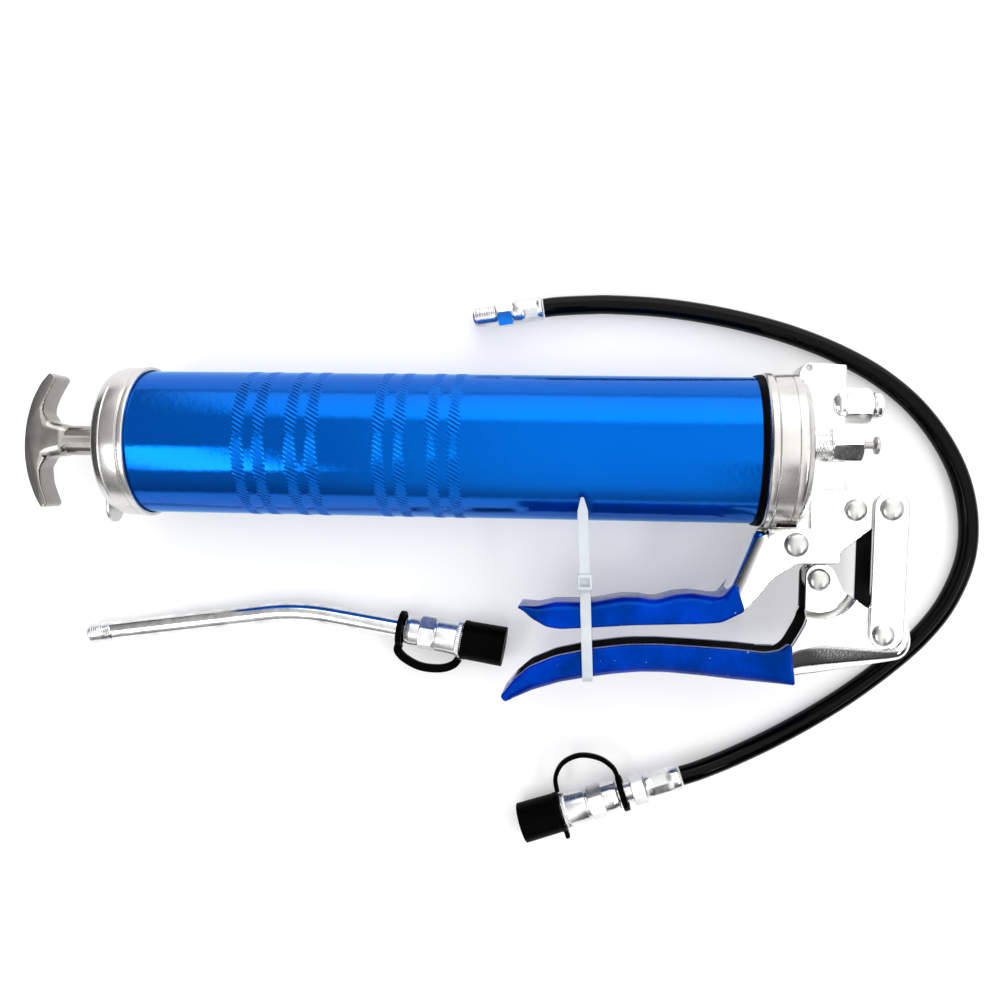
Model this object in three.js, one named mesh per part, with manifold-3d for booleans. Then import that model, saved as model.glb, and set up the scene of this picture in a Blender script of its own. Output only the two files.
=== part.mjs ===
// Lever grease gun lying on a table, with its flexible hose and its rigid pipe beside it.
// Millimetres, +Z up. The gun lies on its side: +X runs along the barrel towards the pump
// head, the two grips are on the -Y side, and the table is z = 0.
import * as THREE from "three";
import { mergeVertices } from "three/addons/utils/BufferGeometryUtils.js";
import Module from "manifold-3d";

const wasm = await Module();
wasm.setup();

// ---------------------------------------------------------------- driving dimensions
// In the gun's own frame x = 0 is where the barrel meets the head, and y = z = 0 is its axis.
const AXIS_HEIGHT = 30.25;
const GUN_ORIGIN = [116.1, 33];
const GAP = 0.3;
const FINEST = 0.04;
const ROUND = 32;

const BARREL_RADIUS = 28.5;
const BARREL_WALL = 1.5;
const BARREL_BACK = -251.2;
const BARREL_FRONT = 13.9;
const CAP_BORE = 28.9;
const REAR_FACE = -255;

const ROD_RADIUS = 5.5;
const ROD_FRONT = -18;
const FOLLOWER_FACE = -24;
const HANDLE_HUB_FRONT = -270;
const HANDLE_HALF_DEPTH = 6.5;

// Pivots of the linkage, seen along Z.
const FRAME_PIVOT = [49.2, -21.5];
const LEVER_PIVOT = [47, -68.9];
const PLUNGER_PIVOT = [24.3, -49.2];
const FRAME_RIVETS = [[14.8, -35.8], [36.5, -22.2]];

// Heights above the gun's middle plane of the sheet steel parts, which are all doubled.
const SHEET = 2.2;
const SIDE_PLATE = [9.2, 11.4];
const LINK_PLATE = [11.7, 13.9];
const LEVER_TAB = [5.2, 7.4];
const VINYL = 1.2;
const PIN_RADIUS = 2.5;

const OUTLET_Y = 18;
const LOADER = { y: 2, z: 16 };

const HOSE_RADIUS = 4;
const PIPE_RADIUS = 3.8;
const COUPLER_HEIGHT = 8.5;
const HOSE_COUPLER = { x: -58.7, y: -146.4, turn: 198.8 };
const PIPE_COUPLER = { x: -131, y: -78.2, turn: -8.5 };
const HOSE_END = { x: -84.9, y: 59.1, turn: 188.4, height: 6.2 };

// ---------------------------------------------------------------- materials
const paint = (color, roughness, metalness) =>
  new THREE.MeshStandardMaterial({ color, roughness, metalness });

const blueEnamel = paint(0x0a5bd8, 0.22, 0.1);
const blueVinyl = paint(0x0b2ea6, 0.3, 0);
const polishedZinc = paint(0xb9b8b2, 0.28, 1);
const castAluminium = paint(0xc9c8c2, 0.35, 1);
const platedSteel = paint(0xd9d9d6, 0.22, 1);
const springSteel = paint(0x8d8f92, 0.35, 1);
const brass = paint(0xb08a3c, 0.3, 1);
const blackRubber = paint(0x121214, 0.6, 0);
const hoseRubber = paint(0x0b0b0c, 0.35, 0);
const clearNylon = paint(0xe9edf0, 0.4, 0);

// ---------------------------------------------------------------- geometry helpers
const vertexIndex = (geometry) => Array.from(geometry.index.array);

function signedVolume(position, index) {
  const [a, b, c] = [new THREE.Vector3(), new THREE.Vector3(), new THREE.Vector3()];
  let total = 0;
  for (let i = 0; i < index.length; i += 3) {
    a.fromArray(position, index[i] * 3);
    b.fromArray(position, index[i + 1] * 3);
    c.fromArray(position, index[i + 2] * 3);
    total += a.dot(b.cross(c)) / 6;
  }
  return total;
}

// A closed three.js geometry as a solid whose faces point out.
function solid(geometry) {
  const bare = geometry.clone();
  bare.deleteAttribute("normal");
  bare.deleteAttribute("uv");
  const merged = mergeVertices(bare, 1e-4);
  const position = merged.attributes.position.array;
  const corners = vertexIndex(merged);
  let index = [];
  for (let i = 0; i < corners.length; i += 3) {
    const [a, b, c] = corners.slice(i, i + 3);
    if (a !== b && b !== c && c !== a) index.push(a, b, c);
  }
  if (signedVolume(position, index) < 0) index = index.reverse();
  return new wasm.Manifold(new wasm.Mesh({
    numProp: 3,
    vertProperties: Float32Array.from(position),
    triVerts: Uint32Array.from(index),
  }));
}

const joined = (...pieces) => pieces.reduce((whole, piece) => whole.add(piece));
const cut = (body, ...tools) => tools.reduce((rest, tool) => rest.subtract(tool), body);

function mesh(name, body, material) {
  const data = body.simplify(FINEST).getMesh();
  const geometry = new THREE.BufferGeometry();
  geometry.setAttribute("position", new THREE.BufferAttribute(data.vertProperties, 3));
  geometry.setIndex(new THREE.BufferAttribute(data.triVerts, 1));
  geometry.computeVertexNormals();
  const result = new THREE.Mesh(geometry, material);
  result.name = name;
  return result;
}

function group(...children) {
  const result = new THREE.Group();
  result.add(...children);
  return result;
}

// Closed outline through the corners [x, y, radius], counter-clockwise.
function outline(corners) {
  const shape = new THREE.Shape();
  corners.forEach(([x, y, radius = 0], i) => {
    const corner = new THREE.Vector2(x, y);
    if (radius === 0) {
      if (i === 0) shape.moveTo(x, y);
      else shape.lineTo(x, y);
      return;
    }
    const before = new THREE.Vector2(...corners.at(i - 1)).sub(corner).normalize();
    const after = new THREE.Vector2(...corners[(i + 1) % corners.length]).sub(corner).normalize();
    const half = Math.acos(before.dot(after)) / 2;
    const centre = before.clone().add(after).setLength(radius / Math.sin(half)).add(corner);
    const reach = radius / Math.tan(half);
    const start = before.clone().multiplyScalar(reach).add(corner).sub(centre);
    const end = after.clone().multiplyScalar(reach).add(corner).sub(centre);
    shape.absarc(centre.x, centre.y, radius, start.angle(), end.angle(), before.cross(after) > 0);
  });
  return shape;
}

// The same corners with every edge moved out by a distance.
function grown(corners, distance) {
  return corners.map(([x, y, radius = 0], i) => {
    const corner = new THREE.Vector2(x, y);
    const before = new THREE.Vector2(...corners.at(i - 1)).sub(corner).normalize();
    const after = new THREE.Vector2(...corners[(i + 1) % corners.length]).sub(corner).normalize();
    const outBefore = new THREE.Vector2(-before.y, before.x);
    const outAfter = new THREE.Vector2(after.y, -after.x);
    const out = outBefore.clone().add(outAfter);
    out.multiplyScalar(distance / (1 + outBefore.dot(outAfter)));
    const convex = before.cross(after) < 0;
    const grownRadius = radius === 0 ? 0 : Math.max(radius + (convex ? distance : -distance), 0);
    return [x + out.x, y + out.y, grownRadius];
  });
}

const shifted = (corners, dx, dy) => corners.map(([x, y, radius]) => [x + dx, y + dy, radius]);

function prism(corners, from, to, curveSegments = 2) {
  const options = { depth: to - from, bevelEnabled: false, curveSegments };
  return solid(new THREE.ExtrudeGeometry(outline(corners), options).translate(0, 0, from));
}

const doubled = (corners, [inner, outer]) =>
  joined(prism(corners, inner, outer), prism(corners, -outer, -inner));

const box = (x0, x1, y0, y1, z0, z1) =>
  solid(new THREE.BoxGeometry(x1 - x0, y1 - y0, z1 - z0)
    .translate((x0 + x1) / 2, (y0 + y1) / 2, (z0 + z1) / 2));

const cylinder = (radius, length, segments) =>
  new THREE.CylinderGeometry(radius, radius, length, segments);

const barX = (radius, from, to, y = 0, z = 0, segments = 20) =>
  solid(cylinder(radius, to - from, segments)
    .rotateZ(-Math.PI / 2).translate((from + to) / 2, y, z));

const barY = (radius, from, to, x, segments = 20) =>
  solid(cylinder(radius, to - from, segments).translate(x, (from + to) / 2, 0));

const barZ = (radius, from, to, [x, y], segments = 16) =>
  solid(cylinder(radius, to - from, segments)
    .rotateX(Math.PI / 2).translate(x, y, (from + to) / 2));

// A hexagon along X, with a flat (spin 0) or a corner (spin 30) facing up.
const hexX = (acrossFlats, from, to, y = 0, z = 0, spin = 0) =>
  solid(new THREE.CylinderGeometry(acrossFlats / Math.sqrt(3), acrossFlats / Math.sqrt(3), to - from, 6)
    .rotateY(THREE.MathUtils.degToRad(spin)).rotateZ(-Math.PI / 2).translate((from + to) / 2, y, z));

const lathe = (profile, segments) =>
  new THREE.LatheGeometry(profile.map(([along, radius]) => new THREE.Vector2(radius, along)), segments);

// A turned piece about X from [x, radius] points that start and end on the axis.
const turnedX = (profile, segments = 20) => solid(lathe(profile, segments).rotateZ(-Math.PI / 2));

// A turned ring about X from [x, radius] points, closed back to its first point.
const ringX = (profile, segments = 20) => turnedX([...profile, profile[0]], segments);

// Points on an arc from one angle to another, in degrees, as [along, radius].
function arc(along, across, radius, from, to, steps) {
  return Array.from({ length: steps + 1 }, (_, i) => {
    const angle = THREE.MathUtils.degToRad(from + (to - from) * i / steps);
    return [along + radius * Math.cos(angle), across + radius * Math.sin(angle)];
  });
}

// A rivet along Z with two domed heads that start at a height above the middle plane.
function rivet(name, [x, y], headBase, headRadius, headHeight = 2.3) {
  const steps = 3;
  const dome = Array.from({ length: steps + 1 }, (_, i) => {
    const angle = Math.PI / 2 * i / steps;
    return [headBase + headHeight * Math.sin(angle), headRadius * Math.cos(angle)];
  });
  dome[steps][1] = 0;
  const upper = [[headBase, PIN_RADIUS], ...dome];
  const lower = upper.map(([along, radius]) => [-along, radius]).reverse();
  const body = solid(lathe([...lower, ...upper], 14).rotateX(Math.PI / 2));
  const result = mesh(name, body, platedSteel);
  result.position.set(x, y, 0);
  return result;
}

function helix(radius, turns, from, to) {
  const curve = new THREE.Curve();
  curve.getPoint = (t) => {
    const angle = 2 * Math.PI * turns * t;
    return new THREE.Vector3(from + (to - from) * t, radius * Math.cos(angle), radius * Math.sin(angle));
  };
  return curve;
}

function wire(curve, radius, steps, sides) {
  const section = new THREE.Shape();
  section.absarc(0, 0, radius, 0, 2 * Math.PI);
  const options = { steps, extrudePath: curve, bevelEnabled: false, curveSegments: sides };
  return solid(new THREE.ExtrudeGeometry(section, options));
}

// ---------------------------------------------------------------- barrel
function barrel() {
  const inner = BARREL_RADIUS - BARREL_WALL;
  const tube = ringX([
    [BARREL_BACK, inner], [BARREL_FRONT, inner],
    [BARREL_FRONT, BARREL_RADIUS], [BARREL_BACK, BARREL_RADIUS],
  ], ROUND);
  const gasket = ringX([
    [-1.6, BARREL_RADIUS + GAP], [1.5, BARREL_RADIUS + GAP],
    [1.5, 29.4], [-1.6, 29.4],
  ], ROUND);
  return [
    mesh("barrel_tube", tube, blueEnamel),
    mesh("barrel_gasket", gasket, blackRubber),
  ];
}

function rearCap() {
  const cap = ringX([
    [REAR_FACE, ROD_RADIUS + 0.4], [REAR_FACE, 24], [-254, 27.6], [-250.5, 29.3],
    [-243.3, 29.3], [-242.3, 30.1], [-240.8, 30.1],
    [-240.8, CAP_BORE], [-251.6, CAP_BORE], [-251.6, ROD_RADIUS + 0.4],
  ], ROUND);
  return mesh("rear_cap", cap, polishedZinc);
}

// The plate that grips the follower rod: its tab shows below the rear cap.
function rodLockPlate() {
  const shape = outline([[-33, -7, 6.9], [13, -7, 2], [13, 7, 2], [-33, 7, 6.9]]);
  const hole = new THREE.Path();
  hole.absarc(0, 0, ROD_RADIUS + 0.6, 0, 2 * Math.PI);
  shape.holes.push(hole);
  const options = { depth: 1.4, bevelEnabled: false, curveSegments: 8 };
  const alongX = new THREE.Matrix4().makeBasis(
    new THREE.Vector3(0, 1, 0), new THREE.Vector3(0, 0, 1), new THREE.Vector3(1, 0, 0));
  const geometry = new THREE.ExtrudeGeometry(shape, options).applyMatrix4(alongX);
  const plate = mesh("rod_lock_plate", solid(geometry), platedSteel);
  plate.position.set(REAR_FACE - 3, 0, 0);
  return plate;
}

// ---------------------------------------------------------------- follower rod
function followerRod() {
  const spigot = 3;
  const rod = turnedX([
    [HANDLE_HUB_FRONT - 7, 0], [HANDLE_HUB_FRONT - 7, spigot], [HANDLE_HUB_FRONT + GAP, spigot],
    [HANDLE_HUB_FRONT + GAP, ROD_RADIUS], [FOLLOWER_FACE - 12, ROD_RADIUS],
    [FOLLOWER_FACE - 12, spigot], [ROD_FRONT, spigot], [ROD_FRONT, 0],
  ]);
  return mesh("follower_rod", rod, platedSteel);
}

// Crossbar bowed like an anchor, on a short round hub.
function tHandle() {
  const bar = prism([
    [-278, -6], [-278, 6], [-284.2, 7.5, 4], [-286, 13, 6], [-279.8, 25.2, 1.6],
    [-283.2, 27.8, 2], [-293.4, 0, 44], [-283.2, -27.8, 2], [-279.8, -25.2, 1.6],
    [-286, -13, 6], [-284.2, -7.5, 4],
  ], -HANDLE_HALF_DEPTH, HANDLE_HALF_DEPTH);
  const hub = barX(6, -284, HANDLE_HUB_FRONT);
  const socket = barX(3 + GAP, HANDLE_HUB_FRONT - 7.5, HANDLE_HUB_FRONT + 1);
  return mesh("t_handle", cut(joined(bar, hub), socket), polishedZinc);
}

function follower() {
  const rodHole = 3 + GAP;
  const back = FOLLOWER_FACE - 11.7;
  const washer = ringX([
    [back, rodHole], [back, 20], [back + 1.6, 20], [back + 1.6, rodHole],
  ]);
  const cup = ringX([
    [back + 1.9, rodHole], [back + 1.9, 20], [back + 1, 26.2], [back + 3, 26.6],
    [FOLLOWER_FACE, 26.2], [FOLLOWER_FACE, 24], [back + 6, 22], [back + 6, rodHole],
  ]);
  const nut = cut(hexX(10, back + 6.3, back + 10.3), barX(rodHole, back + 6, back + 11));
  const spring = wire(helix(18, 8, REAR_FACE + 5.5, back - 2), 1.2, 72, 3);
  return {
    moving: [
      mesh("follower_washer", washer, platedSteel),
      mesh("follower_cup", cup, blackRubber),
      mesh("follower_nut", nut, platedSteel),
    ],
    spring: mesh("follower_spring", spring, springSteel),
  };
}

// ---------------------------------------------------------------- pump head
const blockUpper = [[33, -16], [33, 32.9, 0.8], [15.2, 33.9, 4.5], [15.2, -16]];
const blockLower = [
  [8, -40.5, 1], [31, -40.5, 1], [31, -37.6], [41.5, -27.6, 2], [41.5, -15.5, 2],
  [15, -15.5], [15, -29.3], [8, -29.3],
];
const PUMP_X = PLUNGER_PIVOT[0];
const BORE_RADIUS = 4.3;

function headCasting() {
  const cap = ringX([
    [1.9, CAP_BORE], [1.9, AXIS_HEIGHT], [5.2, AXIS_HEIGHT], [5.8, 29.7],
    ...arc(13.8, 24.8, 4.9, 90, 0, 3),
    [18.7, 4], [14.4, 4], [14.4, CAP_BORE],
  ], ROUND);
  const body = joined(
    cap,
    prism(blockUpper, -7.5, 7.5),
    prism(blockLower, -8.9, 8.9),
    outletBoss(),
    barX(7.6, 14.6, 19.6, LOADER.y, LOADER.z),
  );
  return mesh("head_casting", cut(
    body,
    barY(BORE_RADIUS, -42, -8, PUMP_X),
    barY(6.8, -42, -36.6, PUMP_X),
    barY(2, -9, OUTLET_Y, PUMP_X, 16),
    barX(4, 10, PUMP_X, -12, 0, 16),
    barX(3.6, 22.3, 30, OUTLET_Y),
    barX(5, 28.2, 34, OUTLET_Y),
    barX(3.4, 16.5, 20, LOADER.y, LOADER.z),
    barZ(1.3, -8, 8, [19.4, 30.9], 14),
    ...FRAME_RIVETS.map((at) => barZ(PIN_RADIUS + GAP, -10, 10, at)),
  ), castAluminium);
}

// The outlet boss stands proud of the pump block on both sides, with a rounded back end.
function outletBoss() {
  const profile = [[26, 0], [26.3, 3.4], [27.4, 6.4], [29.2, 8.4], [31, 9], [33.2, 9], [33.2, 0]];
  return solid(lathe(profile, 20).rotateZ(-Math.PI / 2).translate(0, OUTLET_Y, 0));
}

function checkValve() {
  const ball = solid(new THREE.SphereGeometry(3, 12, 8).translate(26, OUTLET_Y, 0));
  const spring = wire(helix(1.9, 3, 29.7, 33.6), 0.4, 24, 3);
  const springMesh = mesh("check_spring", spring, springSteel);
  springMesh.position.y = OUTLET_Y;
  return [mesh("check_ball", ball, springSteel), springMesh];
}

// Threaded adapter for the hose or the pipe, with its ring at the mouth.
function outlet() {
  const body = joined(
    barX(4.7, 29.4, 34, OUTLET_Y),
    hexX(12.1, 33.5, 40.5, OUTLET_Y),
    solid(new THREE.CylinderGeometry(4.9, 6.9, 4.2, 6)
      .rotateZ(-Math.PI / 2).translate(42.5, OUTLET_Y, 0)),
    barX(4, 44, 48.4, OUTLET_Y),
  );
  const adapter = cut(body, barX(2.7, 29, 49, OUTLET_Y, 0, 16));
  const ring = solid(lathe([
    [44.9, 4.3], [44.9, 4.6], [45.5, 5.1], [47.4, 5.1], [48, 4.6], [48, 4.3], [44.9, 4.3],
  ], 20).rotateZ(-Math.PI / 2).translate(0, OUTLET_Y, 0));
  return [
    mesh("outlet_adapter", adapter, platedSteel),
    mesh("outlet_ring", ring, platedSteel),
  ];
}

// Air bleeder: a hexagon screwed into the head, with a stem that is pressed in.
function bleeder() {
  const { y, z } = LOADER;
  const body = cut(
    joined(
      barX(3, 16.8, 20, y, z),
      barX(4.9, 19.9, 25.9, y, z),
      hexX(11.6, 25.7, 37.4, y, z, 30),
      barX(4.4, 37, 38.8, y, z),
    ),
    barX(1.6, 17, 39, y, z, 16),
  );
  const stem = joined(barX(1.2, 21, 43, y, z, 16), barX(3.3, 41.5, 43.2, y, z, 20));
  return {
    body: mesh("bleeder_body", body, platedSteel),
    stem: mesh("bleeder_stem", stem, springSteel),
  };
}

// ---------------------------------------------------------------- frame with the fixed grip
const frameCorners = [
  [-87.5, -66.5, 4], [-76, -69, 20], [-46, -66.4, 60], [-13, -65.1, 10], [-4.4, -61.6, 6],
  [0.6, -56.6, 8], [6.4, -48.8, 12], [15.5, -43.2, 8], [31.2, -42.9, 1], [31.2, -38.5, 1],
  [42.8, -29.1, 3], [56.6, -29, 7.4], [56.6, -14.1, 7.3], [19.8, -14.6, 1], [19.8, -29.7, 0.6],
  [0.4, -29.7, 3], [-11, -55.4, 8], [-28, -54.6, 40], [-50, -55.9, 60], [-70, -58.6, 30],
  [-89.5, -61.2, 2],
];
const gripEdge = [[8.9, -90], [60, -90], [60, 0], [-32.9, 0]];

function gripFrame() {
  const shell = prism(frameCorners, -SIDE_PLATE[1], SIDE_PLATE[1]);
  const inside = joined(
    prism(shifted(frameCorners, 2.2, -2.1), -SIDE_PLATE[0], SIDE_PLATE[0]),
    box(3.6, 60, -60, -10, -SIDE_PLATE[0], SIDE_PLATE[0]),
    box(-5, 10, -31, -20, -SIDE_PLATE[0], SIDE_PLATE[0]),
  );
  const holes = [...FRAME_RIVETS, FRAME_PIVOT].map((at) => barZ(PIN_RADIUS + GAP, -14, 14, at));
  return mesh("grip_frame", cut(shell, inside, ...holes), platedSteel);
}

// Dipped vinyl, 1.2 mm thick, over a sheet channel that is open on one side.
function vinylSleeve(name, corners, bare, openTowards) {
  const outer = SIDE_PLATE[1] + VINYL;
  const dipped = prism(grown(corners, VINYL + 0.25), -outer, outer);
  const steel = prism(grown(corners, 0.25), -SIDE_PLATE[1] - 0.25, SIDE_PLATE[1] + 0.25);
  const opening = prism(shifted(corners, 0, openTowards), -SIDE_PLATE[0], SIDE_PLATE[0]);
  return mesh(name, cut(dipped, steel, opening, bare), blueVinyl);
}

// ---------------------------------------------------------------- lever and links
const leverCorners = [
  [15.7, -87.9, 60], [59.5, -77.4, 7], [56.6, -61.6, 7], [41.3, -58.6, 1.5], [33.5, -53.4, 3],
  [28.9, -43.6, 4.4], [18.9, -43.6, 4.5], [19, -64.5, 10], [14.4, -77.4, 7], [2, -78.6, 20],
  [-22, -76.7, 60], [-52, -77.7, 60], [-79, -83.2, 24], [-90.5, -92, 10], [-96.2, -99, 1.5],
  [-77, -90.2, 30], [-53.5, -86.6, 60], [-30, -85, 80], [-8, -86.4, 80],
];
const leverGripEdge = [[15.8, -120], [70, -120], [70, -40], [12.6, -40]];

function lever() {
  const [inner, outer] = SIDE_PLATE;
  const channel = cut(
    prism(leverCorners, -outer, outer),
    prism(shifted(leverCorners, 0, SHEET), -inner, inner),
    barZ(9.6, -14, 14, PLUNGER_PIVOT),
  );
  // Round the plunger the flanges are pressed inwards into two flat tabs.
  const tabRegion = barZ(11.8, -14, 14, PLUNGER_PIVOT);
  const recess = joined(
    barZ(9.2, LEVER_TAB[1], 14, PLUNGER_PIVOT),
    barZ(9.2, -14, -LEVER_TAB[1], PLUNGER_PIVOT),
  );
  const tabs = cut(
    doubled(leverCorners, [LEVER_TAB[0], outer]).intersect(tabRegion),
    recess,
  );
  return mesh("lever_channel", cut(
    joined(channel, tabs),
    barZ(3.3, -14, 14, PLUNGER_PIVOT),
    barZ(PIN_RADIUS + GAP, -14, 14, LEVER_PIVOT),
  ), platedSteel);
}

function link() {
  const flange = [[42, -75, 6], [55, -75, 6], [56.7, -15, 6], [42.9, -15, 6]];
  const webEdge = [[52.7, -56.5], [54.9, -56.5], [56.3, -28], [54.1, -28]];
  const body = joined(
    doubled(flange, LINK_PLATE),
    prism(webEdge, -LINK_PLATE[1], LINK_PLATE[1]),
  );
  const holes = [FRAME_PIVOT, LEVER_PIVOT].map((at) => barZ(PIN_RADIUS + 0.1, -16, 16, at));
  return [
    mesh("link_channel", cut(body, ...holes), platedSteel),
    rivet("link_upper_pin", FRAME_PIVOT, LINK_PLATE[1] + GAP, 4.3),
    rivet("link_lower_pin", LEVER_PIVOT, LINK_PLATE[1] + GAP, 4.1),
  ];
}

function plunger() {
  const [x, y] = PLUNGER_PIVOT;
  const body = joined(
    barY(BORE_RADIUS - GAP, y + 3, -16, x),
    prism([[x - 4.4, y - 4.4, 4.2], [x + 4.4, y - 4.4, 4.2], [x + 4.4, y + 4.6], [x - 4.4, y + 4.6]],
      -4.6, 4.6),
  );
  return [
    mesh("plunger", cut(body, barZ(PIN_RADIUS + 0.1, -6, 6, PLUNGER_PIVOT)), springSteel),
    rivet("plunger_pin", PLUNGER_PIVOT, LEVER_TAB[1] + GAP, 4.2),
  ];
}

function plungerSeal() {
  const seal = cut(barY(6.5, -40.2, -36.9, PUMP_X), barY(BORE_RADIUS, -41, -36, PUMP_X));
  return mesh("plunger_seal", seal, blackRubber);
}

// ---------------------------------------------------------------- cable tie
// A snipped tie: a strip in front of the grips and one behind, closed over the fixed grip.
function cableTie() {
  const x = -66.8;
  const width = 3.6;
  const thick = 1.1;
  const reach = SIDE_PLATE[1] + VINYL + 0.7;
  const top = -52.6;
  const end = -90;
  const band = outline([
    [end, -reach - thick], [end, -reach], [top - thick, -reach, 3], [top - thick, reach, 3],
    [end, reach], [end, reach + thick], [top, reach + thick, 4], [top, -reach - thick, 4],
  ].reverse());
  const alongX = new THREE.Matrix4().makeBasis(
    new THREE.Vector3(0, 1, 0), new THREE.Vector3(0, 0, 1), new THREE.Vector3(1, 0, 0));
  const options = { depth: width, bevelEnabled: false, curveSegments: 4 };
  const strip = new THREE.ExtrudeGeometry(band, options).applyMatrix4(alongX).translate(x, 0, 0);
  const lock = box(x - 1, x + width + 1.4, -54.6, -48.4, reach - 1.6, reach + 4.2);
  const tail = outline([
    [-1.5, -2], [1.5, -2], [1.5, 27, 1], [0.5, 31, 0.4], [-0.5, 31, 0.4], [-1.5, 27, 1],
  ]);
  const tailGeometry = new THREE.ExtrudeGeometry(tail, { depth: thick, bevelEnabled: false })
    .rotateX(THREE.MathUtils.degToRad(15)).translate(x + width / 2, -50, reach + 1.4);
  return mesh("cable_tie", joined(solid(strip), lock, solid(tailGeometry)), clearNylon);
}

// ---------------------------------------------------------------- couplers
// A coupler lies along its own X: 0 is the middle of its hexagon, and the dust cap is ahead.
const CAP_BACK = 15;
const CAP_LENGTH = 18;

function couplerPieces(prefix, shankBore) {
  const body = cut(
    joined(
      barX(6.2, -9.4, -2.5),
      hexX(12.3, -2.7, 2.7),
      barX(6.9, 2.5, 14.2),
      barX(5.9, 14, 26.5),
    ),
    barX(shankBore, -10, -3),
    barX(2, -4, 12, 0, 0, 16),
    barX(4.4, 10, 27),
  );
  const seal = ringX([[10.4, 1.6], [10.4, 4.1], [13.4, 4.1], [13.4, 1.6]], 20);
  const jaws = ringX([[13.8, 3.2], [13.8, 4.1], [19, 4.1], [19, 3.2]], 20);
  const lip = 1.4;
  const cap = ringX([
    [CAP_BACK, 6.6], [CAP_BACK, 8.4], [CAP_BACK + CAP_LENGTH, 8.4],
    [CAP_BACK + CAP_LENGTH, 0.6], [CAP_BACK + 14, 0.6], [CAP_BACK + 14, 6.6],
  ]);
  const vent = barX(0.7, CAP_BACK + 13, CAP_BACK + CAP_LENGTH - lip, 0, 0, 12);
  return {
    fixed: [
      mesh(`${prefix}_coupler_body`, body, platedSteel),
      mesh(`${prefix}_coupler_seal`, seal, blackRubber),
      mesh(`${prefix}_coupler_jaws`, jaws, brass),
      mesh(`${prefix}_cap_strap`, capStrap(), blackRubber),
    ],
    cap: mesh(`${prefix}_dust_cap`, joined(cap, vent), blackRubber),
  };
}

// A moulded strap: a ring behind the coupler, and a loop round to the dust cap's rim.
function capStrap() {
  const ring = ringX([[-12.9, 6.7], [-12.9, 8], [-9.9, 8], [-9.9, 6.7]], 24);
  const loop = new THREE.CatmullRomCurve3([
    new THREE.Vector3(-11.4, -7.6, 0), new THREE.Vector3(-11.8, -12.5, 0),
    new THREE.Vector3(-6.5, -18.4, 0), new THREE.Vector3(1, -20.6, 0),
    new THREE.Vector3(8.6, -18.6, 0), new THREE.Vector3(13.2, -13.6, 0),
    new THREE.Vector3(14, -8.9, 0),
  ]);
  const section = outline([[-1.7, -0.7], [1.7, -0.7], [1.7, 0.7], [-1.7, 0.7]]);
  const options = { steps: 14, extrudePath: loop, bevelEnabled: false };
  return joined(ring, solid(new THREE.ExtrudeGeometry(section, options)));
}

function placed(pieces, { x, y, turn, height = COUPLER_HEIGHT }) {
  pieces.position.set(x, y, height);
  pieces.rotation.z = THREE.MathUtils.degToRad(turn);
  return pieces;
}

// ---------------------------------------------------------------- hose
// Centre line of the rubber hose, lying on the table from one ferrule to the other.
const hoseRoute = [
  [-84.5, 59.15, 6.2], [-80.5, 59.75, 6.1], [-75, 60.3, 5.4], [-66, 60.9, 4.4], [-56.6, 61.1, 4.1],
  [-37.1, 60.1, 4.1], [-17.9, 57.6, 4.1], [1, 53.7, 4.1], [19.5, 48.4, 4.1], [37.3, 41.3, 4.1],
  [54, 32.1, 4.1], [68.6, 20.1, 4.1], [80, 5.6, 4.1], [87.6, -10, 4.1], [91, -26.5, 4.1],
  [89.9, -43, 4.1], [83.2, -60, 4.1], [73.4, -73.6, 4.1], [61, -85.6, 4.1], [45.2, -98.4, 4.1],
  [29.1, -109.4, 4.1], [12.5, -119.2, 4.2], [-4.3, -127.4, 5.6], [-15.4, -131.7, 7.6],
  [-20, -133.3, 8.3], [-24, -134.6, 8.5],
];

function hose() {
  const points = hoseRoute.map(([x, y, z]) => new THREE.Vector3(x, y, z));
  const tube = wire(new THREE.CatmullRomCurve3(points), HOSE_RADIUS, 56, 6);
  const thread = 4;
  const maleEnd = cut(
    joined(
      hexX(10.2, 12.7, 19.2, 0, 0, 30),
      barX(thread, 19, 28.8),
      barX(thread - 0.6, 28.6, 29.4),
    ),
    barX(1.9, 12, 30, 0, 0, 16),
  );
  const ferrule = (from, to, radius) => ringX([
    [from, 2.2], [from, radius - 0.5], [from + 0.6, radius], [to - 0.6, radius],
    [to, radius - 0.5], [to, 2.2],
  ]);
  const endA = group(
    mesh("hose_ferrule_front", ferrule(0.3, 12.4, 4.8), platedSteel),
    mesh("hose_male_fitting", maleEnd, platedSteel),
  );

  const pieces = couplerPieces("hose", 4.6);
  const nipple = cut(
    joined(hexX(11.2, -21, -16.2), barX(4.3, -16.4, -3.6)),
    barX(1.9, -22, -3, 0, 0, 16),
  );
  const endB = group(
    mesh("hose_ferrule_back", ferrule(-36, -21.4, 4.8), platedSteel),
    mesh("hose_coupler_nipple", nipple, platedSteel),
    ...pieces.fixed,
    pieces.cap,
  );
  return group(
    mesh("hose_tube", tube, hoseRubber),
    placed(endA, HOSE_END),
    placed(endB, HOSE_COUPLER),
  );
}

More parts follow.
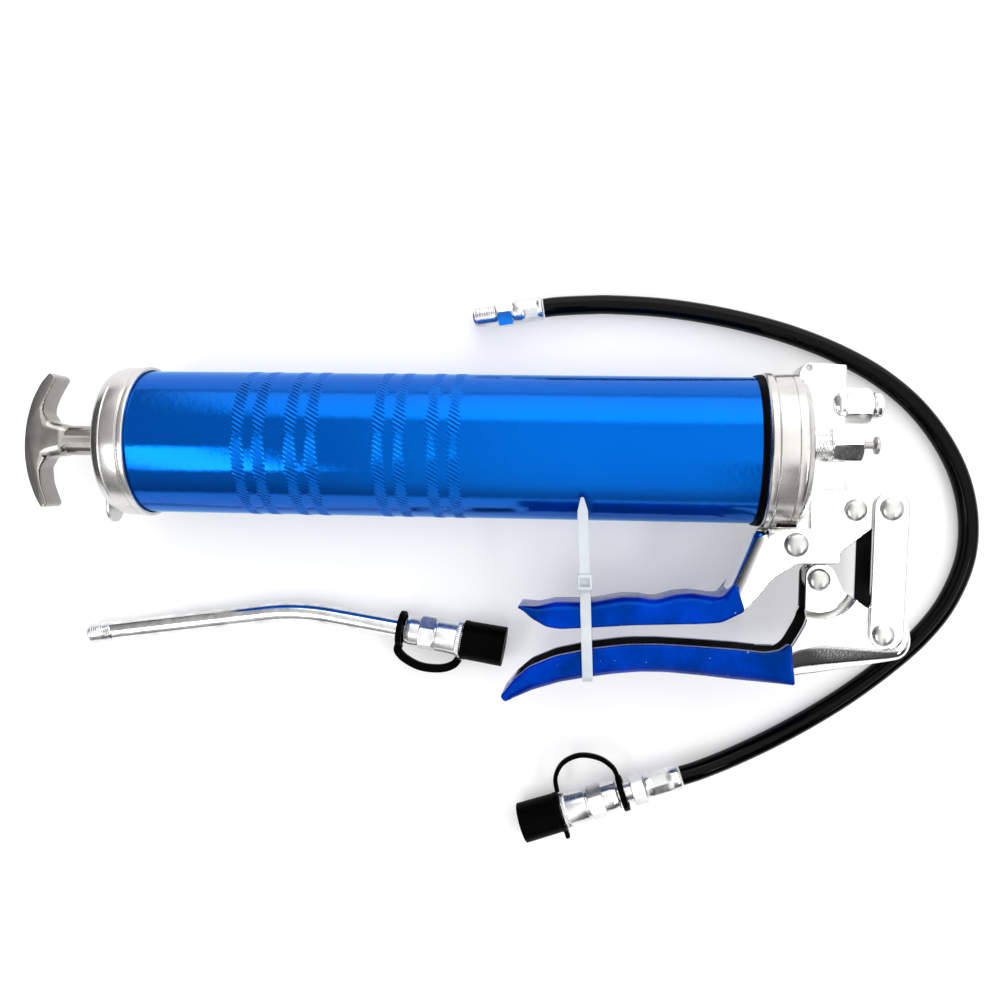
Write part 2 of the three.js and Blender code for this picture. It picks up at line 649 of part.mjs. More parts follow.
// ---------------------------------------------------------------- rigid pipe
function rigidPipe() {
  const low = 4.3;
  const threadEnd = new THREE.Vector3(-269.3, -81.5, low + 0.3);
  const bend = new THREE.Vector3(-187.2, -69.8, low + 2.4);
  const socket = new THREE.Vector3(-137.2, -77.27, COUPLER_HEIGHT);
  const bendReach = 15;
  const towards = (from, to, distance) =>
    to.clone().sub(from).setLength(distance).add(from);
  const path = new THREE.CurvePath();
  const intoBend = towards(bend, threadEnd, bendReach);
  const outOfBend = towards(bend, socket, bendReach);
  path.add(new THREE.LineCurve3(threadEnd, intoBend));
  path.add(new THREE.QuadraticBezierCurve3(intoBend, bend, outOfBend));
  path.add(new THREE.LineCurve3(outOfBend, socket));
  const tube = wire(path, PIPE_RADIUS, 24, 6);
  const outward = threadEnd.clone().sub(intoBend).normalize();
  const thread = cylinder(4.1, 11, 20)
    .applyQuaternion(new THREE.Quaternion().setFromUnitVectors(new THREE.Vector3(0, 1, 0), outward))
    .translate(...outward.clone().multiplyScalar(5.2).add(threadEnd).toArray());
  const bore = cylinder(2, 12, 14)
    .applyQuaternion(new THREE.Quaternion().setFromUnitVectors(new THREE.Vector3(0, 1, 0), outward))
    .translate(...outward.clone().multiplyScalar(8).add(threadEnd).toArray());
  const pieces = couplerPieces("pipe", 4.2);
  const end = group(...pieces.fixed, pieces.cap);
  return group(
    mesh("rigid_pipe", cut(joined(tube, solid(thread)), solid(bore)), platedSteel),
    placed(end, PIPE_COUPLER),
  );
}

// ---------------------------------------------------------------- assembly
const followerParts = follower();
const bleederParts = bleeder();

const gun = group(
  ...barrel(),
  rearCap(),
  rodLockPlate(),
  followerRod(),
  tHandle(),
  ...followerParts.moving,
  followerParts.spring,
  headCasting(),
  ...checkValve(),
  ...outlet(),
  bleederParts.body,
  bleederParts.stem,
  gripFrame(),
  vinylSleeve("fixed_grip", frameCorners, prism(gripEdge, -20, 20), -SHEET),
  rivet("frame_rivet_lower", FRAME_RIVETS[0], SIDE_PLATE[1] + GAP, 4.5),
  rivet("frame_rivet_upper", FRAME_RIVETS[1], SIDE_PLATE[1] + GAP, 4.1),
  lever(),
  vinylSleeve("lever_grip", leverCorners, prism(leverGripEdge, -20, 20), 4),
  ...link(),
  ...plunger(),
  plungerSeal(),
  cableTie(),
);
gun.position.set(...GUN_ORIGIN, AXIS_HEIGHT);

const accessories = group(hose(), rigidPipe());
accessories.position.set(...GUN_ORIGIN, 0);

export default group(gun, accessories);
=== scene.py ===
"""Looks of the lever grease gun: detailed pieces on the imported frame, studio light and camera."""

import math

import bmesh
import bpy
from mathutils import Matrix, Vector


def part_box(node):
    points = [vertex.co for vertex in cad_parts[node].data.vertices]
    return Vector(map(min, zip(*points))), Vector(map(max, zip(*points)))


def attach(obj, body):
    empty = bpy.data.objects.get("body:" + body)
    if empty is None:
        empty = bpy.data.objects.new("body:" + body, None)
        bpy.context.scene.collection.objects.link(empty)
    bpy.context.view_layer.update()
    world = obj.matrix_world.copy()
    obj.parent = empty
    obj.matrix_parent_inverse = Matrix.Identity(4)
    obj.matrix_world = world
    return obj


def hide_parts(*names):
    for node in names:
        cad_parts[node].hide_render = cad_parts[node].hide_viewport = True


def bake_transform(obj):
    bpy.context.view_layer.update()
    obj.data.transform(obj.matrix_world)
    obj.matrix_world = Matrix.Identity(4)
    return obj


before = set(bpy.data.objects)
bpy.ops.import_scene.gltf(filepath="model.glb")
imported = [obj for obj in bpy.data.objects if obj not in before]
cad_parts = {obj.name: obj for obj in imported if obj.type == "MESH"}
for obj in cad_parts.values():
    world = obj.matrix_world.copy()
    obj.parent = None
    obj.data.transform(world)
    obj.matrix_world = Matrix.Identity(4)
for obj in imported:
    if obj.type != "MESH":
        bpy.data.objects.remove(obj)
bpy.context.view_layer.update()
scene = bpy.context.scene
scene.view_settings.view_transform = "Standard"

# The gun's own frame, in millimetres: x = 0 where the barrel meets the head, y = z = 0 on its axis.
TUBE_LOW, TUBE_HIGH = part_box("barrel_tube")
BARREL_FRONT = 13.9
ORIGIN = Vector((
    TUBE_HIGH.x - BARREL_FRONT / 1000,
    (TUBE_LOW.y + TUBE_HIGH.y) / 2,
    (TUBE_LOW.z + TUBE_HIGH.z) / 2,
))
GUN = Matrix.Translation(ORIGIN) @ Matrix.Scale(0.001, 4)
TABLE = -30.25


def at(x, y, z=0.0):
    return GUN @ Vector((x, y, z))


# ---------------------------------------------------------------- camera and stage
def add_camera():
    data = bpy.data.cameras.new("camera")
    data.lens = 37.08
    data.sensor_width = 36
    data.shift_x = -0.022
    data.clip_start = 0.01
    camera = bpy.data.objects.new("camera", data)
    camera.location = at(-61, -14.5, 408)
    camera.rotation_euler = [math.radians(a) for a in (-0.834, 4.164, 1.01)]
    scene.collection.objects.link(camera)
    scene.camera = camera


def add_light(name, place, towards, size, energy):
    data = bpy.data.lights.new(name, "AREA")
    data.shape = "RECTANGLE"
    data.size, data.size_y = size
    data.energy = energy
    light = bpy.data.objects.new(name, data)
    light.location = at(*place)
    out = (at(*place) - at(*towards)).normalized()
    side = Vector((0, 1, 0)).cross(out).normalized()
    light.rotation_euler = Matrix((side, out.cross(side), out)).transposed().to_euler()
    scene.collection.objects.link(light)


def add_stage():
    bpy.ops.mesh.primitive_plane_add(size=6, location=(0, 0, 0))
    floor = bpy.context.object
    floor.name = "floor"
    floor.data.materials.append(FLOOR)
    world = bpy.data.worlds.new("studio")
    scene.world = world
    world.use_nodes = True
    sky = Graph(world.node_tree, "Generated")
    x, y, z = sky.put("ShaderNodeSeparateXYZ", {"Vector": sky.coordinates}).outputs
    # The room is pale above, dark low down and towards -X, with a dark corner at +X -Y and a long
    # window at +Y. These are what the bright metal reflects.
    height = sky.greys(z, [(0, 0.25), (0.15, 0.35), (0.5, 0.85), (0.93, 1)])
    side_levels = [(0, 0.08), (0.2, 0.3), (0.27, 0.5), (0.4, 0.68), (0.58, 1.7)]
    side = sky.greys(sky.range(x, 0, 1, -0.9, 0.6), side_levels)
    corner = sky.math("MULTIPLY", sky.range(x, 0, 0.95, 0.12, 0.2), sky.range(y, 1, 0, -0.45, -0.25))
    room = sky.math("MULTIPLY", sky.math("MULTIPLY", height, side), sky.math("SUBTRACT", 1.0, corner))
    shifted_y = sky.math("ADD", y, sky.range(x, -0.3, 0, -0.4, -0.32))
    window = sky.math("MULTIPLY", sky.range(shifted_y, 0, 1.8, 0.6, 0.68), sky.range(z, 0, 1, -0.02, 0.1))
    sky.tree.links.new(sky.math("ADD", room, window), sky.tree.nodes["Background"].inputs["Strength"])
    sky.tree.nodes["Background"].inputs["Color"].default_value = (1, 1, 1, 1)
    add_light("window_left", (-600, -440, 810), (-200, 0, 0), (0.2, 0.62), 2.3)
    add_light("strip_right", (560, -420, 700), (60, -60, 0), (0.04, 0.6), 1.5)


# ---------------------------------------------------------------- materials
# The colour sockets of a Mix node, which shares its socket names between kinds of value.
MIX_FACTOR, MIX_A, MIX_B, MIX_RESULT = 0, 6, 7, 2


class Graph:
    """A node tree, with short ways to add and join nodes."""

    def __init__(self, tree, coordinates="Object"):
        self.tree = tree
        self.coordinates = tree.nodes.new("ShaderNodeTexCoord").outputs[coordinates]

    def put(self, kind, inputs=None, **settings):
        node = self.tree.nodes.new(kind)
        for key, value in settings.items():
            setattr(node, key, value)
        for key, value in (inputs or {}).items():
            if isinstance(value, bpy.types.NodeSocket):
                self.tree.links.new(value, node.inputs[key])
            else:
                node.inputs[key].default_value = value
        return node

    def noise(self, scale, detail, roughness=0.55):
        inputs = {"Vector": self.coordinates, "Scale": scale, "Detail": detail, "Roughness": roughness}
        return self.put("ShaderNodeTexNoise", inputs).outputs["Fac"]

    def ramp(self, value, stops):
        node = self.put("ShaderNodeValToRGB", {"Fac": value})
        elements = node.color_ramp.elements
        while len(elements) < len(stops):
            elements.new(0.5)
        for element, (position, colour) in zip(elements, stops):
            element.position = position
            element.color = (*colour, 1)
        return node.outputs["Color"]

    def greys(self, value, stops):
        return self.ramp(value, [(position, (level,) * 3) for position, level in stops])

    def range(self, value, low, high, start=0.3, end=0.7):
        inputs = {"Value": value, "From Min": start, "From Max": end, "To Min": low, "To Max": high}
        return self.put("ShaderNodeMapRange", inputs).outputs["Result"]

    def math(self, operation, first, second):
        node = self.put("ShaderNodeMath", operation=operation)
        for value, socket in zip((first, second), node.inputs):
            if isinstance(value, bpy.types.NodeSocket):
                self.tree.links.new(value, socket)
            else:
                socket.default_value = value
        return node.outputs[0]

    def bump(self, height, strength, distance, normal=None):
        inputs = {"Height": height, "Strength": strength, "Distance": distance / 1000}
        if normal is not None:
            inputs["Normal"] = normal
        return self.put("ShaderNodeBump", inputs).outputs["Normal"]


class Nodes(Graph):
    """A material made on a Principled shader."""

    def __init__(self, name, slot=None):
        self.material = bpy.data.materials.new(f"fine_{name}")
        self.material["slot"] = slot or name
        self.material.use_nodes = True
        super().__init__(self.material.node_tree)
        self.shader = self.tree.nodes["Principled BSDF"]

    def set(self, **values):
        for key, value in values.items():
            socket = self.shader.inputs[key.replace("_", " ")]
            if isinstance(value, bpy.types.NodeSocket):
                self.tree.links.new(value, socket)
            else:
                is_colour = socket.type == "RGBA"
                socket.default_value = (*value, 1) if is_colour else value


def make_enamel():
    n = Nodes("blue_enamel")
    shade = n.noise(9, 4)
    colour = n.ramp(shade, [(0.3, (0.0, 0.066, 0.43)), (0.7, (0.0, 0.088, 0.48))])
    peel = n.bump(n.noise(380, 5, roughness=0.7), 0.3, 0.2)
    fine = n.bump(n.noise(2600, 2), 0.03, 0.06, peel)
    n.set(Base_Color=colour, Roughness=n.range(n.noise(60, 3), 0.03, 0.06), Metallic=0.65, Normal=fine)
    n.set(Specular_Tint=(0.02, 0.64, 1.0), IOR=2.0)
    return n.material


def make_vinyl():
    n = Nodes("blue_vinyl")
    body = n.ramp(n.noise(44, 4), [(0.36, (0.0, 0.001, 0.11)), (0.64, (0.0, 0.022, 0.42))])
    specks = n.ramp(n.noise(420, 1), [(0.765, (0, 0, 0)), (0.79, (0.25, 0.3, 0.35))])
    inputs = {MIX_FACTOR: 1.0, MIX_A: body, MIX_B: specks}
    colour = n.put("ShaderNodeMix", inputs, data_type="RGBA", blend_type="ADD").outputs[MIX_RESULT]
    waves = n.bump(n.noise(34, 2), 0.6, 2.5)
    grain = n.bump(n.noise(1500, 3), 0.08, 0.1, waves)
    n.set(Base_Color=colour, Roughness=n.range(n.noise(90, 3), 0.16, 0.3), Normal=grain)
    n.set(IOR=1.62, Specular_Tint=(0.0, 0.34, 1.0))
    return n.material


def make_metal(name, dark, light, rough, grain, grain_scale, deep=0.06, mottle=40, slot=None):
    n = Nodes(name, slot)
    stains = n.noise(mottle, 5, roughness=0.65)
    n.set(Base_Color=n.ramp(stains, [(0.32, dark), (0.62, light)]), Metallic=1.0)
    n.set(Roughness=n.range(n.noise(mottle * 2.3, 4), rough[0], rough[1]))
    n.set(Normal=n.bump(n.noise(grain_scale, 4, roughness=0.65), grain, deep))
    return n.material


def make_rubber(name, tone, rough, grain, index=1.08):
    n = Nodes(name)
    light = (tone * 2.2, tone * 2.2, tone * 2.3)
    colour = n.ramp(n.noise(70, 4), [(0.3, (tone, tone, tone)), (0.75, light)])
    n.set(Base_Color=colour, Roughness=n.range(n.noise(150, 3), rough[0], rough[1]), IOR=index)
    n.set(Normal=n.bump(n.noise(1800, 3), grain, 0.15))
    return n.material


def make_nylon():
    n = Nodes("clear_nylon")
    colour = n.ramp(n.noise(120, 3), [(0.3, (0.80, 0.86, 0.90)), (0.7, (0.92, 0.96, 0.98))])
    n.set(Base_Color=colour, Roughness=n.range(n.noise(300, 2), 0.28, 0.42), IOR=1.5)
    n.set(Transmission_Weight=0.45, Subsurface_Weight=0.25, Subsurface_Radius=(0.002, 0.002, 0.002))
    n.set(Normal=n.bump(n.noise(900, 2), 0.1, 0.1))
    return n.material


def make_floor():
    n = Nodes("floor_paper")
    n.set(Base_Color=n.ramp(n.noise(8, 3), [(0.3, (0.75, 0.75, 0.75)), (0.7, (0.77, 0.77, 0.77))]))
    n.set(Roughness=0.6, Emission_Color=(1.0, 1.0, 1.0), Emission_Strength=0.27)
    return n.material


ENAMEL = make_enamel()
VINYL = make_vinyl()
ZINC = make_metal("plated_steel", (0.56, 0.57, 0.57), (0.93, 0.93, 0.92), (0.08, 0.16), 0.3, 1000,
                  mottle=130)
PLATE = make_metal("plate_steel", (0.80, 0.80, 0.79), (0.93, 0.93, 0.92), (0.05, 0.1), 0.3, 1100, 0.1,
                   slot="plated_steel")
SATIN = make_metal("satin_zinc", (0.60, 0.61, 0.62), (0.80, 0.81, 0.81), (0.2, 0.3), 0.12, 900, mottle=90,
                   slot="plated_steel")
CAST = make_metal("cast_aluminium", (0.60, 0.60, 0.60), (0.90, 0.89, 0.87), (0.12, 0.24), 0.2, 500,
                  mottle=110)
POLISHED = make_metal("polished_zinc", (0.52, 0.51, 0.49), (0.66, 0.65, 0.63), (0.2, 0.32), 0.12, 700)
DARK_CAST = make_metal("dark_cast", (0.27, 0.26, 0.24), (0.38, 0.37, 0.35), (0.12, 0.24), 0.12, 500,
                       slot="polished_zinc")
BARE = make_metal("spring_steel", (0.30, 0.29, 0.28), (0.50, 0.49, 0.47), (0.25, 0.4), 0.15, 900)
BRASS = make_metal("brass", (0.50, 0.34, 0.11), (0.74, 0.55, 0.24), (0.2, 0.32), 0.10, 900)
RUBBER = make_rubber("black_rubber", 0.0005, (0.32, 0.5), 0.2)
HOSE = make_rubber("hose_rubber", 0.0003, (0.05, 0.1), 0.06, 1.18)
NYLON = make_nylon()
# Painted shade: near-black colour on the channels' insides, standing in for the deep shade on plain plate
# there. It is a guess: they may be plain plate in deep shade.
PAINTED_SHADE = make_metal("painted_shade_steel", (0.008, 0.008, 0.008), (0.03, 0.03, 0.03), (0.5, 0.7), 0.1, 900,
                    slot="plated_steel")
RIVET = make_metal("rivet_steel", (0.46, 0.46, 0.44), (0.66, 0.66, 0.63), (0.26, 0.36), 0.1, 900,
                   slot="plated_steel")
FLOOR = make_floor()


# ---------------------------------------------------------------- mesh helpers
def add_mesh(name, bm):
    """A mesh object from a bmesh in the gun's millimetres."""
    bmesh.ops.recalc_face_normals(bm, faces=bm.faces)
    mesh = bpy.data.meshes.new(name)
    bm.to_mesh(mesh)
    bm.free()
    piece = bpy.data.objects.new(name, mesh)
    scene.collection.objects.link(piece)
    return piece


def baked(piece):
    """Replaces a piece's mesh by what its modifiers make of it."""
    graph = bpy.context.evaluated_depsgraph_get()
    mesh = bpy.data.meshes.new_from_object(piece.evaluated_get(graph))
    piece.modifiers.clear()
    piece.data = mesh
    return piece


def combined(piece, others, operation):
    for other in others:
        modifier = piece.modifiers.new(operation, "BOOLEAN")
        modifier.operation = operation
        modifier.solver = "EXACT"
        modifier.object = other
        baked(piece)
        bpy.data.objects.remove(other)
    return piece


def carved(piece, *cutters):
    return combined(piece, cutters, "DIFFERENCE")


def united(piece, *others):
    return combined(piece, others, "UNION")


def edged(piece, width, segments, angle):
    """Rounds the piece's sharp edges."""
    modifier = piece.modifiers.new("edges", "BEVEL")
    modifier.width = width
    modifier.segments = segments
    modifier.limit_method = "ANGLE"
    modifier.angle_limit = math.radians(angle)
    return baked(piece)


def done(piece, material, body, *nodes, place=None, smooth=33):
    """Puts a finished piece in its place, with its material, its body and the nodes it stands for."""
    piece.data.transform(GUN @ (place or Matrix()))
    mesh = piece.data
    mesh.materials.clear()
    mesh.materials.append(material)
    for polygon in mesh.polygons:
        polygon.use_smooth = True
        polygon.material_index = 0
    mesh.set_sharp_from_angle(angle=math.radians(smooth))
    if body:
        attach(piece, body)
    if nodes:
        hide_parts(*nodes)
    return piece


def paint_shade_inside(piece, half_height):
    """The faces between the two flanges of a channel get a near-black painted shade, standing in for the
    shade inside it. The faces between the two flanges of a channel get the guessed near-black finish.
    """
    piece.data.materials.append(PAINTED_SHADE)
    low, high = sorted((ORIGIN.z - half_height / 1000, ORIGIN.z + half_height / 1000))
    for polygon in piece.data.polygons:
        outward = polygon.normal.z * (1 if polygon.center.z > ORIGIN.z else -1)
        if outward < 0.15 and all(low < piece.data.vertices[v].co.z < high for v in polygon.vertices):
            polygon.material_index = 1


def bridge(bm, first, second):
    """Faces between two rings; a ring of one vertex is a pole."""
    count = max(len(first), len(second))
    for i in range(count):
        j = (i + 1) % count
        corners = [first[i % len(first)], first[j % len(first)],
                   second[j % len(second)], second[i % len(second)]]
        unique = list(dict.fromkeys(corners))
        if len(unique) > 2:
            bm.faces.new(unique)


def lathe(name, rings, segments=96, closed=False):
    """A surface about X through rings (x, radius), where a radius may be a function of the angle."""
    bm = bmesh.new()
    loops = []
    for x, radius in rings:
        if not callable(radius) and radius < 1e-6:
            loops.append([bm.verts.new((x, 0, 0))])
            continue
        loop = []
        for i in range(segments):
            angle = 2 * math.pi * i / segments
            r = radius(angle) if callable(radius) else radius
            loop.append(bm.verts.new((x, r * math.cos(angle), r * math.sin(angle))))
        loops.append(loop)
    pairs = list(zip(loops, loops[1:]))
    if closed:
        pairs.append((loops[-1], loops[0]))
    for first, second in pairs:
        bridge(bm, first, second)
    return add_mesh(name, bm)


def rounded(corners, closed=False, steps=5):
    """Points along a line whose corners (x, y, radius) are rounded."""
    points = []
    count = len(corners)
    for i, (x, y, *rest) in enumerate(corners):
        radius = rest[0] if rest else 0
        here = Vector((x, y))
        if radius == 0 or (not closed and i in (0, count - 1)):
            points.append(here)
            continue
        before = Vector(corners[i - 1][:2]) - here
        after = Vector(corners[(i + 1) % count][:2]) - here
        half = before.angle(after) / 2
        reach = min(radius / math.tan(half), before.length * 0.49, after.length * 0.49)
        radius = reach * math.tan(half)
        before.normalize()
        after.normalize()
        centre = here + (before + after).normalized() * radius / math.sin(half)
        start = here + before * reach - centre
        turn = math.pi - 2 * half
        if before.x * after.y - before.y * after.x > 0:
            turn = -turn
        number = max(2, round(abs(turn) / math.radians(90) * steps * 2))
        for k in range(number + 1):
            c, s = math.cos(turn * k / number), math.sin(turn * k / number)
            points.append(centre + Vector((start.x * c - start.y * s, start.x * s + start.y * c)))
    return points


def turned(name, profile, segments=96, steps=3):
    """A turned piece about X whose profile corners (x, radius, rounding) are rounded."""
    return lathe(name, [(p.x, max(p.y, 0)) for p in rounded(profile, steps=steps)], segments)


def ring(name, profile, segments=96, steps=3):
    """A turned ring about X, its profile closed back to its first corner."""
    return lathe(name, [(p.x, p.y) for p in rounded(profile, True, steps)], segments, closed=True)


def nut(name, start, end, across_flats, bore, chamfer, spin):
    """A hexagon about X with its corners turned off at both ends. Spin 0 has a flat towards +Z."""
    side = 0.1  # how far inside the flats the turned corners start
    flat = across_flats / 2
    corner = flat / math.cos(math.radians(30))

    def hexagon(limit):
        def radius(angle):
            turn = (math.degrees(angle) - 90 - spin) % 60
            return min(flat / math.cos(math.radians(min(turn, 60 - turn))), limit)
        return radius

    rings = []
    low, rise = flat - side, corner - flat + side
    quarter = [(k / 4, math.pi / 2 * k / 4) for k in range(5)]
    rings += [(start + chamfer * t, hexagon(low + rise * math.sin(angle))) for t, angle in quarter]
    rings += [(end - chamfer * (1 - t), hexagon(low + rise * math.cos(angle))) for t, angle in quarter]
    return lathe(name, rings + [(end, bore), (start, bore)], 96, closed=True)


def thread(name, start, end, radius, pitch, depth, bore):
    """A screw thread about X, tapered off at its start and its end."""
    def at_x(x):
        fade = min((x - start) / pitch, (end - x) / pitch, 1)

        def r(angle):
            phase = ((x - start) / pitch - angle / (2 * math.pi)) % 1
            tooth = 1 - abs(2 * phase - 1)
            return radius - depth + depth * min(tooth * 1.6, 1) * max(fade, 0)
        return r

    count = max(4, round((end - start) / pitch * 7))
    places = [start + (end - start) * k / count for k in range(count + 1)]
    return lathe(name, [(x, at_x(x)) for x in places] + [(end, bore), (start, bore)], 48, closed=True)


def slab(name, corners, low, high, edge=0.3, bends=None, steps=4, under=0.0, spread=1.0, profile=None):
    """A plate between two heights. Its edges are rounded by edge, or at some corners by the radius
    that bends gives for that corner's number, as where sheet metal is folded. Under is the least
    radius of its lower edge, and spread makes the folds wider than deep. A profile gives an edge's
    shape, as fractions inward and down."""
    points, radii = [], []
    count = len(corners)
    for i in range(count):
        previous, here, following = corners[i - 1], corners[i], corners[(i + 1) % count]
        arc = rounded([previous, here, following], steps=steps)[1:-1]
        for p in arc:
            points.append(p)
            radii.append((bends or {}).get(i, edge))
    dense, dense_radii = [], []
    for i, p in enumerate(points):
        q = points[(i + 1) % len(points)]
        pieces = max(1, int((q - p).length / 2.5))
        for k in range(pieces):
            dense.append(p.lerp(q, k / pieces))
            dense_radii.append(radii[i] + (radii[(i + 1) % len(points)] - radii[i]) * k / pieces)
    total = len(dense)
    turn = math.copysign(1, sum(dense[i - 1].cross(p) for i, p in enumerate(dense)))
    normals = []
    for i, p in enumerate(dense):
        before = (p - dense[i - 1]).normalized()
        after = (dense[(i + 1) % total] - p).normalized()
        tangent = (before + after).normalized()
        normals.append(Vector((-tangent.y, tangent.x)) * turn)
    dense_radii = [
        min(r, room_inside(dense, normals, dense_radii, i) / spread) for i, r in enumerate(dense_radii)
    ]
    for _ in range(3):
        dense_radii = [
            (dense_radii[i - 1] + 2 * dense_radii[i] + dense_radii[(i + 1) % total]) / 4
            for i in range(total)
        ]
    wide = [under] * total
    under_radii = [
        max(r, min(under, room_inside(dense, normals, wide, i))) for i, r in enumerate(dense_radii)
    ]
    bm = bmesh.new()
    rings = []
    quarter = [math.pi / 2 * k / steps for k in range(steps + 1)]
    profile = profile or [(1 - math.sin(angle), 1 - math.cos(angle)) for angle in quarter]
    rows = [(*part, high, -1, dense_radii) for part in profile]
    rows += [(*part, low, 1, under_radii) for part in reversed(profile)]
    for across, down, height, sign, edge_radii in rows:
        loop = []
        for p, r, normal in zip(dense, edge_radii, normals):
            inward = p + normal * r * spread * across
            z = height + sign * r * down
            loop.append(bm.verts.new((inward.x, inward.y, z)))
        rings.append(loop)
    for first, second in zip(rings, rings[1:]):
        bridge(bm, first, second)
    bm.faces.new(rings[0])
    bm.faces.new(reversed(rings[-1]))
    return add_mesh(name, bm)


def room_inside(outline, normals, radii, i):
    """The largest edge radius at point i of an outline that doesn't run into its other edges."""
    here, normal = outline[i], normals[i]
    count = len(outline)
    room = 100.0
    for j, other in enumerate(outline):
        away = other - here
        depth = away.dot(normal)
        if depth > 1e-4:
            width = away.length_squared / depth
            near = min((i - j) % count, (j - i) % count) < 12
            room = min(room, 0.45 * width if near else width - min(radii[j], width / 2) - 0.4)
    return max(room, 0.05)


def block(name, x0, x1, y0, y1, z0, z1):
    return slab(name, [(x0, y0), (x1, y0), (x1, y1), (x0, y1)], z0, z1, edge=0.02, steps=1)


def pillar(name, x, y, radius, low, high, segments=64):
    """A plain round cutter along Z."""
    cutter = lathe(name, [(low, 0), (low, radius), (high, radius), (high, 0)], segments)
    cutter.data.transform(Matrix.Translation((x, y, 0)) @ Matrix.Rotation(math.radians(-90), 4, "Y"))
    return cutter


def placed(x, y, z=0.0, turn=0.0, tilt=0.0):
    """A place for a piece that was made about X: turn about Z, then tilt the front end up."""
    return (Matrix.Translation((x, y, z)) @ Matrix.Rotation(math.radians(turn), 4, "Z")
            @ Matrix.Rotation(math.radians(-tilt), 4, "Y"))


def smooth_path(points, per_span=8):
    """Points along a smooth curve through the given points."""
    result = []
    count = len(points)
    for i in range(count - 1):
        p0, p1, p2, p3 = (Vector(points[min(max(j, 0), count - 1)]) for j in range(i - 1, i + 3))
        for k in range(per_span):
            t = k / per_span
            result.append(0.5 * (2 * p1 + (p2 - p0) * t + (2 * p0 - 5 * p1 + 4 * p2 - p3) * t * t
                                 + (3 * p1 - p0 - 3 * p2 + p3) * t ** 3))
    result.append(Vector(points[-1]))
    return result


def sweep(name, path, section, up=Vector((0, 0, 1))):
    """A closed section (across, up) carried along a path."""
    bm = bmesh.new()
    loops = []
    for i, p in enumerate(path):
        along = (path[min(i + 1, len(path) - 1)] - path[max(i - 1, 0)]).normalized()
        side = along.cross(up).normalized()
        top = side.cross(along)
        loops.append([bm.verts.new(p + side * a + top * b) for a, b in section])
    for first, second in zip(loops, loops[1:]):
        bridge(bm, first, second)
    bm.faces.new(loops[0])
    bm.faces.new(reversed(loops[-1]))
    return add_mesh(name, bm)


def round_section(radius, count):
    angles = [2 * math.pi * i / count for i in range(count)]
    return [(radius * math.cos(angle), radius * math.sin(angle)) for angle in angles]


def flat_section(width, thickness, rounding):
    corners = [(-width / 2, -thickness / 2, rounding), (width / 2, -thickness / 2, rounding),
               (width / 2, thickness / 2, rounding), (-width / 2, thickness / 2, rounding)]
    return [(p.x, p.y) for p in rounded(corners, True, 2)]


# ---------------------------------------------------------------- hose: camera and cord come first
HOSE_ROUTE = [
    (-84.5, 59.15, 6.2), (-80.5, 59.75, 6.1), (-75, 60.3, 5.4), (-66, 60.9, 4.4), (-56.6, 61.1, 4.1),
    (-37.1, 60.1, 4.1), (-17.9, 57.6, 4.1), (1, 53.7, 4.1), (19.5, 48.4, 4.1), (37.3, 41.3, 4.1),
    (54, 32.1, 4.1), (68.6, 20.1, 4.1), (80, 5.6, 4.1), (87.6, -10, 4.1), (91, -26.5, 4.1),
    (89.9, -43, 4.1), (83.2, -60, 4.1), (73.4, -73.6, 4.1), (61, -85.6, 4.1), (45.2, -98.4, 4.1),
    (29.1, -109.4, 4.1), (12.5, -119.2, 4.2), (-4.3, -127.4, 5.6), (-15.4, -131.7, 7.6),
    (-20, -133.3, 8.3), (-24, -134.6, 8.5),
]
HOSE_RADIUS = 4
HOSE_END = {"x": -84.9, "y": 59.1, "z": 6.2 + TABLE, "turn": 188.4}
HOSE_COUPLER = {"x": -58.7, "y": -146.4, "z": 8.5 + TABLE, "turn": 198.8}
PIPE_COUPLER = {"x": -131, "y": -78.2, "z": 8.5 + TABLE, "turn": -8.5}


def make_hose():
    path = smooth_path([(x, y, z + TABLE) for x, y, z in HOSE_ROUTE], 6)
    data = bpy.data.curves.new("hose", "CURVE")
    data.dimensions = "3D"
    data.bevel_depth = HOSE_RADIUS / 1000
    data.bevel_resolution = 8
    data.use_fill_caps = True
    spline = data.splines.new("POLY")
    spline.points.add(len(path) - 1)
    for point, place in zip(spline.points, path):
        point.co = (*(GUN @ place), 1)
    spline.use_smooth = True
    data.materials.append(HOSE)
    hose = bpy.data.objects.new("hose", data)
    scene.collection.objects.link(hose)
    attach(hose, "hose")
    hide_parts("hose_tube")
    length = sum((b - a).length for a, b in zip(path, path[1:])) / 1000
    return hose, GUN @ path[0], length


def make_ferrule(name, start, end, radius, place, node):
    """A crimped ferrule: a plain collar, then a waist where it was squeezed on."""
    def squeezed(amount):
        def at_angle(angle):
            across = (radius - 0.42) / math.cos((angle % math.radians(45)) - math.radians(22.5))
            return radius + amount * (min(across, radius) - radius)
        return at_angle

    span = end - start
    rings = [(start, 4.15), (start, radius - 0.35), (start + 0.15, radius - 0.1), (start + 0.4, radius)]
    for k in range(13):
        t = k / 12
        rings.append((start + 1 + (span - 4.4) * t, squeezed(min(1, 7 * t, 7 * (1 - t)))))
    rings += [(end - 3, radius), (end - 0.4, radius), (end - 0.1, radius - 0.15), (end, radius - 0.5),
              (end, 4.15)]
    return done(lathe(name, rings, 96, closed=True), SATIN, "hose", node, place=place)


